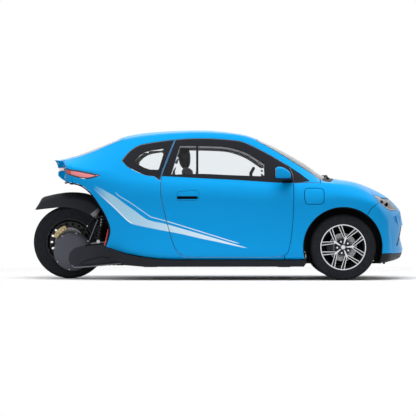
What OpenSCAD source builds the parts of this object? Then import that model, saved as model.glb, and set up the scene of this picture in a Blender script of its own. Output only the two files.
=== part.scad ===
// Three-wheeled electric coupe: two steered front wheels and one driven rear
// wheel on a swingarm. X runs forward, Y to the left and Z up from the ground,
// in millimetres.

/* [Wheels] */
// Front axle, ahead of the middle of the car
front_axle_x = 1170; // [1168:1:1172]
// Rear axle, behind the middle of the car
rear_axle_x = -1430; // [-1432:1:-1428]
// Half of the distance between the front tyres' middles
half_track = 700; // [696:1:702]
// Outer radius of a front tyre
front_tyre_r = 310; // [305:1:310]
// Outer radius of the rear tyre
rear_tyre_r = 350; // [345:1:350]
// Width of a front tyre
front_tyre_w = 195; // [185:5:195]
// Width of the rear tyre
rear_tyre_w = 225; // [215:5:225]

/* [Body] */
// Whole thickness of a side wall
wall_t = 42; // [36:1:46]
// Whole thickness of a door below its window
door_t = 55; // [45:1:58]
// Thickness of a door's window frame
frame_t = 22; // [20:1:22]
// Thickness of the roof and the hatch
roof_t = 24; // [18:1:26]
// Thickness of a fender's single skin
skin_t = 4; // [3:0.5:5]
// Thickness of the front bumper with its foam
bumper_t = 45; // [40:1:50]
// Thickness of the hood with its inner frame
hood_t = 18; // [12:1:20]
// Thickness of the window glass
glass_t = 4; // [4:0.5:6]
// Gap between a door and the body
shut_gap = 10; // [10:0.5:11]

/* [Steering] */
// Distance of a kingpin from the middle of the car
kingpin_y = 620; // [616:1:622]
// Radius of a wheel spindle
spindle_r = 25; // [22:1:26]
// Radius of the steering wheel's rim
steering_r = 180; // [170:2:184]

/* [Hidden] */
$fn = 64;

body_blue = [0.10, 0.58, 0.88];
trim_black = [0.06, 0.06, 0.07];
soft_grey = [0.20, 0.20, 0.22];
glass_tint = [0.75, 0.82, 0.86, 0.35];
steel_grey = [0.55, 0.56, 0.58];
cast_grey = [0.24, 0.24, 0.27];

big = 1200;              // further than any half-width or height that is cut
running_gap = 0.05;      // radial play of a spindle in its hub
seam = 2;                // half of the joint between two fixed panels
cut_over = 1;            // how far a cut runs past the face it opens

// ---------------------------------------------------------------------------
// Body surface. Each row is one bowed section; the ends are swept by "bow".
// Columns: x on the centre line, how far the widest point is swept back from
// it, half-widths at the shoulder crease, the belt and the roof rail, and
// heights of the bottom, the crease, the belt, the rail and the crown.
SECTIONS = [
  // x,   bow, crease, belt, rail, z_low, z_crease, z_belt, z_rail, z_crown
  [-1577, -130, 560, 545, 450, 930, 1005, 1082, 1118, 1139],
  [-1535,  -95, 588, 572, 468, 880, 1000, 1082, 1124, 1139],
  [-1440,  -40, 620, 600, 470, 700,  975, 1072, 1135, 1160],
  [-1330,  -10, 645, 622, 462, 420,  935, 1055, 1158, 1197],
  [-1190,    0, 682, 650, 462, 190,  890, 1036, 1206, 1250],
  [-1040,    0, 730, 690, 472, 190,  852, 1016, 1272, 1310],
  [ -890,    0, 772, 722, 495, 190,  836,  998, 1328, 1366],
  [ -680,    0, 802, 744, 530, 190,  831,  984, 1364, 1402],
  [ -400,    0, 816, 755, 556, 190,  823,  970, 1388, 1420],
  [ -100,    0, 823, 761, 566, 190,  812,  954, 1393, 1423],
  [  180,    0, 826, 764, 566, 190,  798,  940, 1370, 1394],
  [  360,    0, 827, 764, 564, 190,  787,  928, 1318, 1347],
  [  600,    0, 828, 763, 578, 190,  773,  914, 1182, 1239],
  [  840,    0, 830, 757, 612, 190,  766,  916, 1030, 1102],
  [  990,    0, 831, 746, 640, 190,  780,  915,  934,  996],
  [ 1130,    0, 830, 735, 640, 190,  792,  902,  923,  958],
  [ 1300,    0, 824, 715, 605, 185,  772,  872,  901,  929],
  [ 1450,  -10, 800, 682, 545, 170,  722,  800,  824,  876],
  [ 1600,   60, 748, 622, 470, 165,  640,  716,  752,  800],
  [ 1700,  110, 700, 572, 430, 180,  565,  640,  678,  716],
  [ 1762,  148, 655, 540, 410, 215,  500,  560,  592,  632],
  [ 1781,  158, 618, 512, 396, 290,  440,  478,  500,  518]];
OUTER_STEPS = 2;         // sections drawn between two rows of the table
COARSE_DEPTH = 12;       // a wall's inner face from this depth on has the table's rows alone

// One value between p1 and p2 on the smooth curve through four rows
function between(p0, p1, p2, p3, f) =
    p1 + f / 2 * (p2 - p0 + f * (2 * p0 - 5 * p1 + 4 * p2 - p3
       + f * (3 * (p1 - p2) + p3 - p0)));
// Point i of a list, held at the ends
function held(list, i) = list[max(0, min(len(list) - 1, i))];
// Smooth open curve through a few points, with n steps in each span
function smooth(pts, n = 4) = concat([for (i = [0 : len(pts) - 2], k = [0 : n - 1])
    between(held(pts, i - 1), pts[i], pts[i + 1], held(pts, i + 2), k / n)],
    [pts[len(pts) - 1]]);

DRAWN = smooth(SECTIONS, OUTER_STEPS);
ROOF_SPLITS = [0, 0.35, 0.66, 0.88];  // shares of the half-width across a flat

// Right half of one section from the bottom middle to the crown, as [y, z]
// pairs, drawn a distance t inside the outer skin. With open above 0 its floor
// and roof lie that far outside instead, so that only side walls are left, each
// with a hem along the sill.
function half_section(s, t, open) = let(
    crease = s[2] - t, belt = s[3] - t, rail = s[4] - 0.9 * t,
    low = s[5] + t, under = open > 0 ? s[5] - open : low, zc = s[6],
    zb = s[7] - 0.35 * t, zr = s[8] - 0.9 * t, crown = s[9] + (open > 0 ? open : -t),
    sill = crease - 30, tall = zc - low)
    concat(
        [for (f = ROOF_SPLITS) [f * (sill - 40), under]],
        [[sill - 36, low], [sill - 10, low + 0.02 * tall], [sill, low + 0.08 * tall],
         [crease - 24, low + 0.3 * tall], [crease - 16, low + 0.55 * tall],
         [crease - 7, low + 0.8 * tall], [crease, zc]],
        [for (f = [0.5]) [crease + (belt - crease) * f + 10 * sin(180 * f),
                                zc + (zb - zc) * (0.1 + 0.9 * f)]],
        [[belt, zb]],
        [for (f = [0.35, 0.7]) [belt + (rail - belt) * f + 12 * sin(180 * f),
                                      zb + (zr - zb) * f]],
        [for (f = [1, 0.88, 0.66, 0.35, 0])
            [rail * f, zr + (crown - zr) * (1 - pow(f, 2.4))]]);

// Whole ring of a section: up the right side, down the left
function ring(s, t, open) = let(
    h = half_section(s, t, open), n = len(h), x0 = s[0] * (1 - t / 1750),
    xy = [for (p = h) x0 - s[1] * pow(p[0] / s[2], 2)])
    concat([for (j = [0 : n - 1]) [xy[j], -h[j][0], h[j][1]]],
           [for (j = [n - 2 : -1 : 1]) [xy[j], h[j][0], h[j][1]]]);

// Closed solid through rings of equal length, each from the bottom middle up
// the right side to the top and down the left side
module loft(rings) {
    m = len(rings[0]);
    n = m / 2 + 1;
    last = (len(rings) - 1) * m;
    walls = [for (i = [0 : len(rings) - 2], j = [0 : m - 1]) let(
        a = i * m + j, b = i * m + (j + 1) % m, c = b + m, d = a + m)
        each [[a, b, c], [a, c, d]]];
    // Both ends close between the bottom and the top of the same side
    half_n = floor(n / 2);
    caps = [for (e = [0, last], sgn = [1, -1], j = [0 : half_n - 1]) let(
        lo = e + (sgn > 0 ? j : (m - j) % m),
        lo2 = e + (sgn > 0 ? j + 1 : m - j - 1),
        hi = e + (sgn > 0 ? n - 1 - j : (m - (n - 1 - j)) % m),
        hi2 = e + (sgn > 0 ? n - 2 - j : (m - (n - 2 - j)) % m),
        flip = (e > 0) != (sgn < 0),
        quad = lo2 == hi2 ? [[lo, lo2, hi]] : [[lo, lo2, hi2], [lo, hi2, hi]])
        each [for (q = quad) if (q[0] != q[1] && q[1] != q[2] && q[0] != q[2])
              flip ? q : [q[2], q[1], q[0]]]];
    polyhedron([for (r = rings) each r], concat(walls, caps), convexity = 10);
}

// Closed body, a distance t inside the outer skin
module body_form(t = 0, open = 0) {
    loft([for (s = t < COARSE_DEPTH ? DRAWN : SECTIONS) ring(s, t, open)]);
}

// Children, kept as one panel between depths t0 and t1 of the body surface
module panel(t1, t0 = 0, open = 0) {
    resize([0, 0, 0]) intersection() {
        difference() {
            body_form(t0);
            body_form(t1, open);
        }
        union() children();
    }
}

// A side-view outline, run across the car from y0 to y1
module across(y0, y1) {
    translate([0, y1, 0]) rotate([90, 0, 0]) linear_extrude(y1 - y0) children();
}
module right_side() { across(-big, -seam) children(); }
module upright(z0, z1) { translate([0, 0, z0]) linear_extrude(z1 - z0) children(); }
module both() {
    children();
    mirror([0, 1, 0]) children();
}
// A round bar from one point to another
module rod(a, b, r) {
    d = b - a;
    translate(a) rotate([0, acos(d[2] / norm(d)), atan2(d[1], d[0])])
        cylinder(r = r, h = norm(d));
}

// ---------------------------------------------------------------------------
// Side-view outlines, as [x, z]
RAIL = [for (s = DRAWN) [s[0], s[8]]];
BELT = [for (s = DRAWN) [s[0], s[7]]];
module above_rail(d = 0) {
    polygon(concat([for (p = RAIL) [p[0], p[1] + d]], [[big * 2, big * 2], [-big * 2, big * 2]]));
}
module above_belt(d = 0) {
    polygon(concat([for (p = BELT) [p[0], p[1] + d]], [[big * 2, big * 2], [-big * 2, big * 2]]));
}
arch_r = 374;
module front_arch(r = arch_r) { translate([front_axle_x, front_tyre_r]) circle(r); }

DOOR_TOP = smooth([[-403, 1322], [-268, 1331], [-79, 1332], [110, 1319], [205, 1306],
                   [300, 1272], [488, 1176], [668, 1068]], 2);
DOOR_FRONT = smooth([[698, 1000], [703, 900], [704, 740], [694, 520], [668, 320],
                     [628, 240], [531, 216]], 3);
DOOR_REAR = smooth([[-313, 216], [-378, 262], [-426, 350], [-500, 612], [-538, 800],
                    [-536, 940], [-510, 1040], [-403, 1322]], 3);
module door_outline(gap = 0) {
    offset(delta = gap) polygon(concat(DOOR_TOP, DOOR_FRONT,
        [for (i = [0 : len(DOOR_REAR) - 2]) DOOR_REAR[i]]));
}
module door_window(inset = 0) {
    offset(delta = -inset) difference() {
        polygon(concat(
            smooth([[-361, 1263], [-173, 1262], [16, 1255], [110, 1244], [204, 1217],
                    [299, 1175], [431, 1088]], 2),
            [[431, 980]], smooth([[412, 978], [110, 989], [-173, 1001], [-446, 992]], 2)));
        translate([-211, 900]) square([24, 400]);
    }
}
module quarter_outline(gap = 0) {
    offset(delta = gap) polygon(concat(
        smooth([[-908, 1126], [-852, 1197], [-776, 1255], [-692, 1283], [-503, 1312],
                [-418, 1322]], 2),
        [[-526, 1040], [-553, 940]],
        smooth([[-600, 978], [-673, 986], [-739, 1010], [-800, 1040], [-852, 1066]], 2)));
}
module quarter_window(inset = 0) {
    offset(r = 12, $fn = 24) offset(delta = -inset - 12) polygon([[-790, 1121], [-739, 1176],
        [-692, 1205], [-640, 1220], [-505, 1240], [-564, 1040], [-644, 1043],
        [-700, 1062], [-752, 1092]]);
}
module tail_light_outline(inset = 0) {
    offset(delta = -inset) polygon(concat(
        smooth([[-1119, 986], [-1218, 1008], [-1313, 1027], [-1408, 1042], [-1470, 1056],
                [-1640, 1092]], 2),
        smooth([[-1640, 1040], [-1480, 1018], [-1408, 991], [-1313, 963], [-1237, 955],
                [-1175, 966], [-1119, 986]], 2)));
}
module headlight_outline(inset = 0) {
    offset(delta = -inset) polygon(concat(
        smooth([[1457, 796], [1528, 793], [1603, 770], [1670, 726], [1712, 668]], 3),
        smooth([[1690, 652], [1622, 657], [1566, 687], [1509, 741], [1457, 796]], 3)));
}
module flap_outline(gap = 0) {
    offset(r = 22, $fn = 24) offset(delta = gap - 22)
        polygon([[818, 712], [989, 712], [989, 863], [807, 863], [807, 735]]);
}
// Space behind the body that the rear wheel and its mudguard use
module wheel_bay(d = 0) {
    offset(delta = d) polygon(concat(
        [[-1800, 860], [-1600, 1000]],
        smooth([[-1556, 1000], [-1529, 978], [-1471, 940], [-1400, 916], [-1307, 895],
                [-1232, 843], [-1165, 768], [-1118, 697], [-1071, 621], [-1032, 530],
                [-1019, 460], [-1033, 394], [-1061, 310]], 2),
        [[-1061, 100], [-1800, 100]]));
}
module sill_line() {
    polygon(concat(smooth([[-1100, 325], [-1019, 299], [-925, 266], [-831, 241],
        [-643, 210], [-455, 190]], 2), [[-455, 0], [-1100, 0]]));
}

// Plan-view outlines, as [x, y]: a bowed line across the car at x
function bowed(x, sweep, y, n = 8) =
    [for (k = [-n : n]) [x - sweep * pow(k / n, 2), y * k / n]];
module between_lines(x0, s0, x1, s1, y) {
    polygon(concat(bowed(x0, s0, y), [for (i = [16 : -1 : 0]) bowed(x1, s1, y)[i]]));
}
PLAN_Y = 700;            // half-width at which each line's sweep is given
HATCH_X = -901;
HATCH_SWEEP = 30;
HEADER_X = 392;
HEADER_SWEEP = 48;
SCREEN_X = 1040;
HOOD_X = 1122;
SCREEN_SWEEP = 75;
NOSE_X = 1660;
NOSE_SWEEP = 227;
REAR_PANEL_Y = 440;      // half-width of the panel below the hatch
LAMP_Y = 300;            // where a headlight's inner end lies

// ---------------------------------------------------------------------------
// Body shell
module side_outline() {
    difference() {
        polygon([[620, 170], [620, 400], [860, 880], [960, 890], [960, 1000], [400, 1500],
                 [-1700, 1500], [-1700, 170]]);
        above_rail(-seam);
        door_outline(shut_gap);
        quarter_outline(seam);
        tail_light_outline(-seam);
        wheel_bay();
        sill_line();
        difference() {                       // the fender's share ahead of the door
            translate([600, 100]) square([500, 1000]);
            above_belt(seam);
        }
    }
}
module body_side() {
    panel(wall_t, open = 60) difference() {
        right_side() side_outline();
        translate([-1700, -REAR_PANEL_Y, 0]) cube([250, big, 1300]);
    }
}
module body_side_right() { color(body_blue) body_side(); }
module body_side_left() { color(body_blue) mirror([0, 1, 0]) body_side(); }

module rail_area() { across(-big, big) above_rail(seam); }

module roof_panel() {
    color(body_blue) panel(roof_t) intersection() {
        rail_area();
        upright(900, 1500) between_lines(HATCH_X + 11, HATCH_SWEEP, HEADER_X - 3, HEADER_SWEEP, PLAN_Y);
    }
}
module windscreen() {
    color(glass_tint) panel(glass_t + 2, 2) intersection() {
        across(-big, big) above_rail(2 * seam);
        upright(800, 1500) between_lines(HEADER_X, HEADER_SWEEP, SCREEN_X, SCREEN_SWEEP, PLAN_Y);
    }
}
module cowl_panel() {
    color(trim_black) panel(16) intersection() {
        rail_area();
        upright(800, 1500) between_lines(SCREEN_X + 3, SCREEN_SWEEP, HOOD_X - 7, SCREEN_SWEEP, PLAN_Y);
    }
}
module hood() {
    color(body_blue) panel(hood_t) intersection() {
        across(-big, big) above_rail(3);
        upright(600, 1500) between_lines(HOOD_X, SCREEN_SWEEP, NOSE_X - 11, NOSE_SWEEP, PLAN_Y);
    }
}
module fender() {
    panel(skin_t, open = 60) right_side() difference() {
        polygon([[628, 150], [1240, 150], [1395, 600], [1425, 664], [1506, 728],
                 [1452, 800], [1452, 1000], [700, 1000], [661, 600], [661, 204], [628, 204]]);
        above_rail(-3);
        difference() {
            translate([600, 100]) square([380, 1000]);
            polygon(concat([for (p = BELT) [p[0], p[1] - seam]], [[2000, 0], [-2000, 0]]));
        }
        door_outline(shut_gap);
        front_arch();
    }
}
module front_fender_left() { color(body_blue) mirror([0, 1, 0]) fender(); }
module front_fender_right() {
    color(body_blue) difference() {
        fender();
        across(-big, 0) flap_outline(7.5);
    }
}
// Everything above and inside the hood's outline, cut from the pieces round it
module under_hood() {
    intersection() {
        across(-big, big) above_rail(-3);
        upright(600, 1500) between_lines(1000, 0, NOSE_X, NOSE_SWEEP, PLAN_Y);
    }
}
module charge_flap() { color(body_blue) panel(skin_t) across(-big, 0) flap_outline(); }

CHIN_Z = 249;
module front_bumper() {
    color(body_blue) panel(bumper_t) difference() {
        across(-big, big) difference() {
            polygon([[1400, CHIN_Z + seam], [1900, CHIN_Z + seam], [1900, 900], [1456, 900],
                     [1456, 798], [1510, 728], [1430, 664], [1400, 600]]);
            front_arch();
        }
        under_hood();
        both() across(-big, -LAMP_Y + seam) headlight_outline(-seam);
        // Recess under the lip of the nose
        upright(420, 504) difference() {
            translate([1500, -600]) square([400, 1200]);
            polygon(concat(bowed(1750, 158, 618), [[1000, 618], [1000, -618]]));
        }
    }
}
module chin_spoiler() {
    color(trim_black) panel(14) across(-big, big) difference() {
        polygon([[1440, 100], [1900, 100], [1900, CHIN_Z - seam], [1440, CHIN_Z - seam]]);
        front_arch();
    }
}
module headlights() {
    color([0.85, 0.88, 0.92]) both() panel(60) difference() {
        across(-big, -LAMP_Y) headlight_outline();
        under_hood();
    }
}
module quarter_trims() {
    color(trim_black) both() panel(20, 1) right_side() difference() {
        quarter_outline();
        quarter_window(-1);
    }
}
module quarter_windows() {
    color(glass_tint) both() panel(glass_t + 4, 4) right_side() quarter_window();
}
module rear_panel() {
    color(body_blue) panel(16) intersection() {
        across(-REAR_PANEL_Y + seam, REAR_PANEL_Y - seam) difference() {
            polygon([[-1700, 800], [-1450, 800], [-1450, 1060], [-1700, 1060]]);
            wheel_bay();
        }
    }
}
module rear_lights() {
    color([0.75, 0.05, 0.06]) both() {
        panel(36) intersection() {
            right_side() tail_light_outline();
            upright(0, big) polygon([[-1700, -big], [-1000, -big], [-1000, -REAR_PANEL_Y - 4],
                                     [-1700, -REAR_PANEL_Y - 4]]);
        }
        // Side reflector on the trailing edge
        across(-640, -600) polygon([[-1066, 322], [-1052, 322], [-1026, 440], [-1030, 480],
                                    [-1044, 480], [-1042, 440]]);
    }
}
module rear_glass_area(grow = 0) {
    upright(1000, 1500) offset(r = 40, $fn = 24) offset(delta = grow - 40)
        polygon([[-1392, -364], [-940, -412], [-940, 412], [-1392, 364]]);
}
module rear_glass() { color(glass_tint) panel(glass_t + 2, 2) rear_glass_area(); }
module hatch() {
    color(body_blue) panel(roof_t) difference() {
        intersection() {
            union() {
                across(-big, big) above_rail(7);
                across(-REAR_PANEL_Y + 6, REAR_PANEL_Y - 6)
                    translate([-1700, 1068]) square([245, 232]);
            }
            upright(900, 1500) between_lines(-1700, 0, HATCH_X, HATCH_SWEEP, PLAN_Y);
        }
        rear_glass_area(2);
    }
}

// ---------------------------------------------------------------------------
// Doors: skin and inner trim below the belt, a thinner frame round the window
HANDLE_DEPTH = 16;
module handle_slot() {
    offset(r = 12, $fn = 20) offset(delta = -12) polygon([[-386, 762], [-206, 762], [-190, 776],
                                                          [-206, 788], [-392, 788]]);
}
module door_shell() {
    panel(door_t, open = 60) difference() {
        right_side() door_outline();
        right_side() door_window();
        intersection() {
            body_form(frame_t, 60);
            right_side() above_belt(-30);
        }
        difference() {
            right_side() handle_slot();
            body_form(HANDLE_DEPTH, 60);
        }
    }
}
module door_right() { color(body_blue) door_shell(); }
module door_left() { color(body_blue) mirror([0, 1, 0]) door_shell(); }
module door_pane() { panel(glass_t + 6, 6) right_side() door_window(0.5); }
module door_glass_right() { color(glass_tint) door_pane(); }
module door_glass_left() { color(glass_tint) mirror([0, 1, 0]) door_pane(); }

module mirror_unit() {
    resize([0, 0, 0]) difference() {
        union() {
            hull() for (p = [[560, -800, 985, 26], [560, -905, 985, 26], [560, -800, 1030, 26],
                             [560, -900, 1032, 26], [640, -815, 1000, 30], [640, -885, 1005, 30]])
                translate([p[0], p[1], p[2]]) sphere(p[3], $fn = 14);
            hull() {
                translate([590, -745, 928]) cube([70, 4, 20]);
                translate([590, -810, 975]) cube([60, 10, 20]);
            }
        }
        body_form(-1);
    }
}
module mirror_right() { color(body_blue) mirror_unit(); }
module mirror_left() { color(body_blue) mirror([0, 1, 0]) mirror_unit(); }

// ---------------------------------------------------------------------------
// Floor, structure and cabin
module floor_pan() {
    color(soft_grey) {
        upright(150, 158) polygon([[-840, -660], [780, -690], [800, -400], [1540, -400],
            [1540, 400], [800, 400], [780, 690], [-840, 660]]);
        // Side members, with a jacking block under each end
        both() upright(158, 300) polygon([[-825, -595], [-825, -625], [-500, -655],
                                          [780, -655], [780, -595]]);
        for (x = [-700, 560]) both() upright(120, 150) translate([x, -640]) square([120, 60]);
        // Bulkhead ahead of the feet, wider above the wheel arches
        across(-420, 420) polygon([[860, 158], [880, 158], [960, 880], [940, 880]]);
        both() across(-640, -420) polygon([[920, 698], [940, 698], [960, 880], [940, 880]]);
    }
}
module battery_pack() {
    color(steel_grey) translate([-810, -420, 159]) cube([750, 840, 165]);
}
// Outline of the space that the rear wheel, its arm and the motor need
module drive_bay(d = 0) {
    offset(delta = d) union() {
        wheel_bay(22);
        polygon([[-1100, 100], [-848, 100], [-848, 392], [-930, 432], [-1100, 432]]);
    }
}
module rear_bulkhead() {
    color(trim_black) resize([0, 0, 0]) intersection() {
        body_form(wall_t + seam);
        across(-big, big) intersection() {
            difference() {
                drive_bay(12);
                drive_bay();
            }
            translate([-1400, 162]) square([600, 1000]);
        }
    }
}
module sill_trims() {
    color(trim_black) both() across(-806, -720) polygon(concat(
        smooth([[-1050, 300], [-1019, 292], [-925, 260], [-831, 236], [-643, 206],
                [-455, 188]], 2),
        [[812, 188], [818, 140], [800, 126], [-700, 126], [-880, 140], [-1010, 200]]));
}
module wheel_liners() {
    color(trim_black) both() difference() {
        intersection() {
            translate([front_axle_x, -812, front_tyre_r]) rotate([-90, 0, 0]) difference() {
                cylinder(r = arch_r - 2, h = 382);
                translate([0, 0, -1]) cylinder(r = arch_r - 6, h = 378);
            }
            upright(262, 800) polygon([[700, -795], [1300, -795], [1450, -765], [1545, -705],
                [1600, -640], [1600, -400], [700, -400]]);
        }
        // Where the upper arm passes
        translate([1050, -440, 405]) cube([240, 20, 70]);
    }
}
module seat() {
    hull() {
        translate([-150, -240, 345]) cube([60, 480, 100]);
        translate([290, -230, 380]) cube([40, 460, 100]);
    }
    hull() {
        translate([-200, -240, 452]) cube([100, 480, 60]);
        translate([-345, -190, 1010]) cube([90, 380, 50]);
    }
    hull() {
        translate([-372, -110, 1085]) cube([90, 220, 30]);
        translate([-390, -120, 1180]) cube([90, 240, 60]);
        translate([-378, -90, 1245]) cube([60, 180, 12]);
    }
    for (y = [-60, 60]) rod([-305, y, 1050], [-325, y, 1100], 7, $fn = 8);
}
module seats() {
    color([0.12, 0.12, 0.13]) for (y = [-330, 330]) translate([0, y, 0]) resize([0, 0, 0]) seat();
}
module dashboard() {
    color(soft_grey) {
        across(-620, 620) polygon(concat(
            smooth([[520, 640], [490, 720], [480, 800], [520, 880], [640, 915], [800, 918],
                    [915, 900]], 3),
            [[900, 840], [720, 700], [640, 620]]));
        rod([560, 330, 745], [300, 330, 889], 26);
    }
}
module steering_wheel() {
    color(trim_black) translate([262, 330, 910]) rotate([0, -61, 0]) {
        rotate_extrude() translate([steering_r, 0]) circle(15, $fn = 24);
        translate([0, 0, -18]) cylinder(r = 48, h = 30);
        for (a = [0, 90, -90]) rotate([0, 0, a + 180]) translate([30, -14, -8])
            cube([steering_r - 34, 28, 12]);
    }
}
module front_subframe() {
    color(trim_black) {
        both() {
            upright(190, 270) translate([905, -400]) square([635, 60]);
            for (x = [1080, 1200]) upright(270, 480) translate([x, -400]) square([60, 50]);
            // Lower and upper control arms, each with the ball joint's eye
            upright(190, 214) arm_plan(1040, 1300);
            upright(430, 450) arm_plan(1080, 1260);
        }
        for (x = [960, 1360]) translate([x, -400, 195]) cube([70, 800, 60]);
    }
}
module arm_plan(x0, x1) {
    difference() {
        polygon([[x0, -380], [x1, -380], [front_axle_x + 18, -kingpin_y],
                 [front_axle_x - 18, -kingpin_y]]);
        polygon([[x0 + 55, -405], [x1 - 55, -405], [front_axle_x, -560]]);
    }
    translate([front_axle_x, -kingpin_y]) circle(24);
}

// ---------------------------------------------------------------------------
// Rear drive and suspension
PIVOT = [-955, 268];     // swingarm pivot and motor shaft, as [x, z]
COVER = [-1394, 262];    // middle of the round drive cover
arm_y = 128;             // inner face of each swingarm leg
arm_w = 62;              // width of the right leg's casting
module drive_motor() {
    color(steel_grey) translate([PIVOT[0], -118, PIVOT[1]]) rotate([-90, 0, 0])
        cylinder(r = 88, h = 236);
}
module arm_outline(inset = 0) {
    offset(r = 24) offset(delta = -24 - inset) polygon(concat(
        smooth([[-880, 360], [-1067, 361], [-1160, 354], [-1259, 342], [-1330, 348],
                [-1400, 352], [-1470, 318], [-1490, 262], [-1470, 190], [-1420, 140],
                [-1365, 112], [-1284, 116], [-1188, 122], [-1092, 133], [-996, 142],
                [-880, 160]], 2)));
}
module swingarm() {
    color(cast_grey) {
        across(-arm_y - arm_w, -arm_y) arm_outline();
        // Pressed face of the right leg, with its long hollow
        across(-arm_y - arm_w - 12, -arm_y - arm_w) difference() {
            intersection() {
                arm_outline(16);
                translate([-1190, 0]) square([400, 400]);
            }
            polygon(smooth([[-1290, 132], [-1190, 172], [-1090, 205], [-1040, 200], [-940, 190],
                            [-880, 176], [-960, 160], [-1100, 148], [-1290, 132]], 2));
        }
        across(arm_y, arm_y + 44) difference() {
            hull() {
                translate([rear_axle_x, rear_tyre_r]) circle(62, $fn = 32);
                translate(PIVOT) circle(70, $fn = 32);
            }
            translate([rear_axle_x, rear_tyre_r]) circle(20);
        }
        // Cross plate under the motor
        across(-arm_y - 1, arm_y + 1) translate([-1060, 148]) square([160, 16]);
        // Axle
        translate([rear_axle_x, -arm_y - 4, rear_tyre_r]) rotate([-90, 0, 0])
            cylinder(r = 19.95, h = 2 * arm_y + 60);
    }
}
module drive_cover() {
    color(cast_grey) translate([COVER[0], -arm_y - arm_w - 1, COVER[1]]) rotate([90, 0, 0])
        rotate_extrude() polygon([[0, 0], [184, 0], [186, 10], [181, 26], [166, 40], [136, 51],
                                  [90, 58], [0, 61]]);
}
DAMPER_TOP = [-1112, -192, 600];
DAMPER_FOOT = [-1146, -192, 380];
module rear_damper() {
    color(steel_grey) {
        rod(DAMPER_FOOT, DAMPER_TOP, 15);
        // Spring seats, and the spring as a sleeve between them
        rod(DAMPER_FOOT + [0, 0, -14], DAMPER_FOOT + [2, 0, 12], 56);
        rod(DAMPER_TOP + [-3, 0, -20], DAMPER_TOP, 56);
        rod(DAMPER_FOOT + [2, 0, 12], DAMPER_TOP + [-3, 0, -20], 50);
    }
}
// Columns: x, height of the skirt's edge, of the shoulder and of the top
GUARD = [
    [-1760, 660, 664, 668], [-1727, 664, 706, 724], [-1692, 668, 738, 779],
    [-1625, 675, 756, 801], [-1529, 684, 766, 821], [-1432, 681, 768, 831],
    [-1335, 658, 762, 828], [-1248, 616, 740, 812], [-1190, 576, 706, 776],
    [-1150, 548, 676, 736]];
guard_w = 127;
module guard_form(t) {
    loft([for (g = GUARD) let(
        x = g[0] + t * (g[0] < -1700 ? 1.5 : 0) + (g[0] == -1150 ? t : 0),
        low = g[1] - 4 * t, w = guard_w - t, k = [w, low], c = [w, g[2] - t],
        u = [0.62 * w, g[3] - t], h = [[0, low], k, c, u, [0, g[3] - t]])
        concat([for (q = h) [x, -q[0], q[1]]], [for (i = [3 : -1 : 1]) [x, h[i][0], h[i][1]]])]);
}
module rear_mudguard() {
    color(cast_grey) resize([0, 0, 0]) difference() {
        guard_form(0);
        guard_form(5);
    }
}
module rear_caliper() {
    color([0.62, 0.55, 0.36]) translate([rear_axle_x, 0, rear_tyre_r]) difference() {
        across(-98, -50)
            polygon([for (a = [105 : 10 : 165]) 166 * [cos(a), sin(a)],
                     for (a = [165 : -10 : 105]) 92 * [cos(a), sin(a)]]);
        // Slot that the disc runs in
        rotate([90, 0, 0]) translate([0, 0, 60]) cylinder(r = 146, h = 20);
    }
}

// ---------------------------------------------------------------------------
// Wheels, drawn about the Y axis with the outer face towards -Y
module tyre(r, w, bead_r) {
    rotate([90, 0, 0]) rotate_extrude($fn = 96) polygon(concat(
        [[bead_r, -w / 2 + 14], [bead_r + 20, -w / 2 + 4], [(r + bead_r) / 2, -w / 2],
         [r - 26, -w / 2 + 6], [r - 8, -w / 2 + 20], [r, -w / 2 + 40]],
        [[r, w / 2 - 40], [r - 8, w / 2 - 20], [r - 26, w / 2 - 6], [(r + bead_r) / 2, w / 2],
         [bead_r + 20, w / 2 - 4], [bead_r, w / 2 - 14], [bead_r, w / 2 - 26],
         [bead_r + 6, w / 2 - 30], [bead_r + 6, -w / 2 + 30], [bead_r, -w / 2 + 26]]));
}
module rim_barrel(r, w) {
    rotate([90, 0, 0]) rotate_extrude($fn = 96) polygon([
        [r, -w / 2 + 6], [r - 3, -w / 2 + 6], [r - 14, -w / 2 + 24], [r - 22, 0],
        [r - 14, w / 2 - 22], [r - 3, w / 2 - 6], [r, w / 2 - 6], [r, w / 2 - 28],
        [r + 5, w / 2 - 32], [r - 4, w / 2 - 44], [r - 14, 0], [r - 4, -w / 2 + 44],
        [r + 5, -w / 2 + 32], [r, -w / 2 + 28]]);
}
// Five spokes, each a trunk that forks at fork_r into two arms
fork_r = 100;
module bar(a, b, w0, w1) {
    d = (b - a) / norm(b - a);
    n = [-d[1], d[0]];
    polygon([a + n * w0, b + n * w1, b - n * w1, a - n * w0]);
}
module spoke_plan(r) {
    intersection() {
        union() {
            circle(62);
            for (k = [0 : 4], s = [-1, 1]) rotate(72 * k + 90) {
                bar([40, 0], [fork_r + 6, 0], 26, 20);
                bar([fork_r - 14, 4 * s], r * [cos(27), s * sin(27)], 15, 13);
            }
        }
        circle(r - 8);
    }
}
module front_rim() {
    rim_barrel(203, front_tyre_w);
    rotate([90, 0, 0]) difference() {
        union() {
            translate([0, 0, 48]) linear_extrude(26) spoke_plan(203);
            translate([0, 0, -5]) cylinder(r = 62, h = 60);
        }
        translate([0, 0, -10]) cylinder(r = spindle_r + running_gap, h = 66);
    }
}
module front_disc() {
    rotate([90, 0, 0]) difference() {
        translate([0, 0, -26]) cylinder(r = 132, h = 20);
        translate([0, 0, -30]) cylinder(r = 34, h = 40);
    }
}
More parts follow.
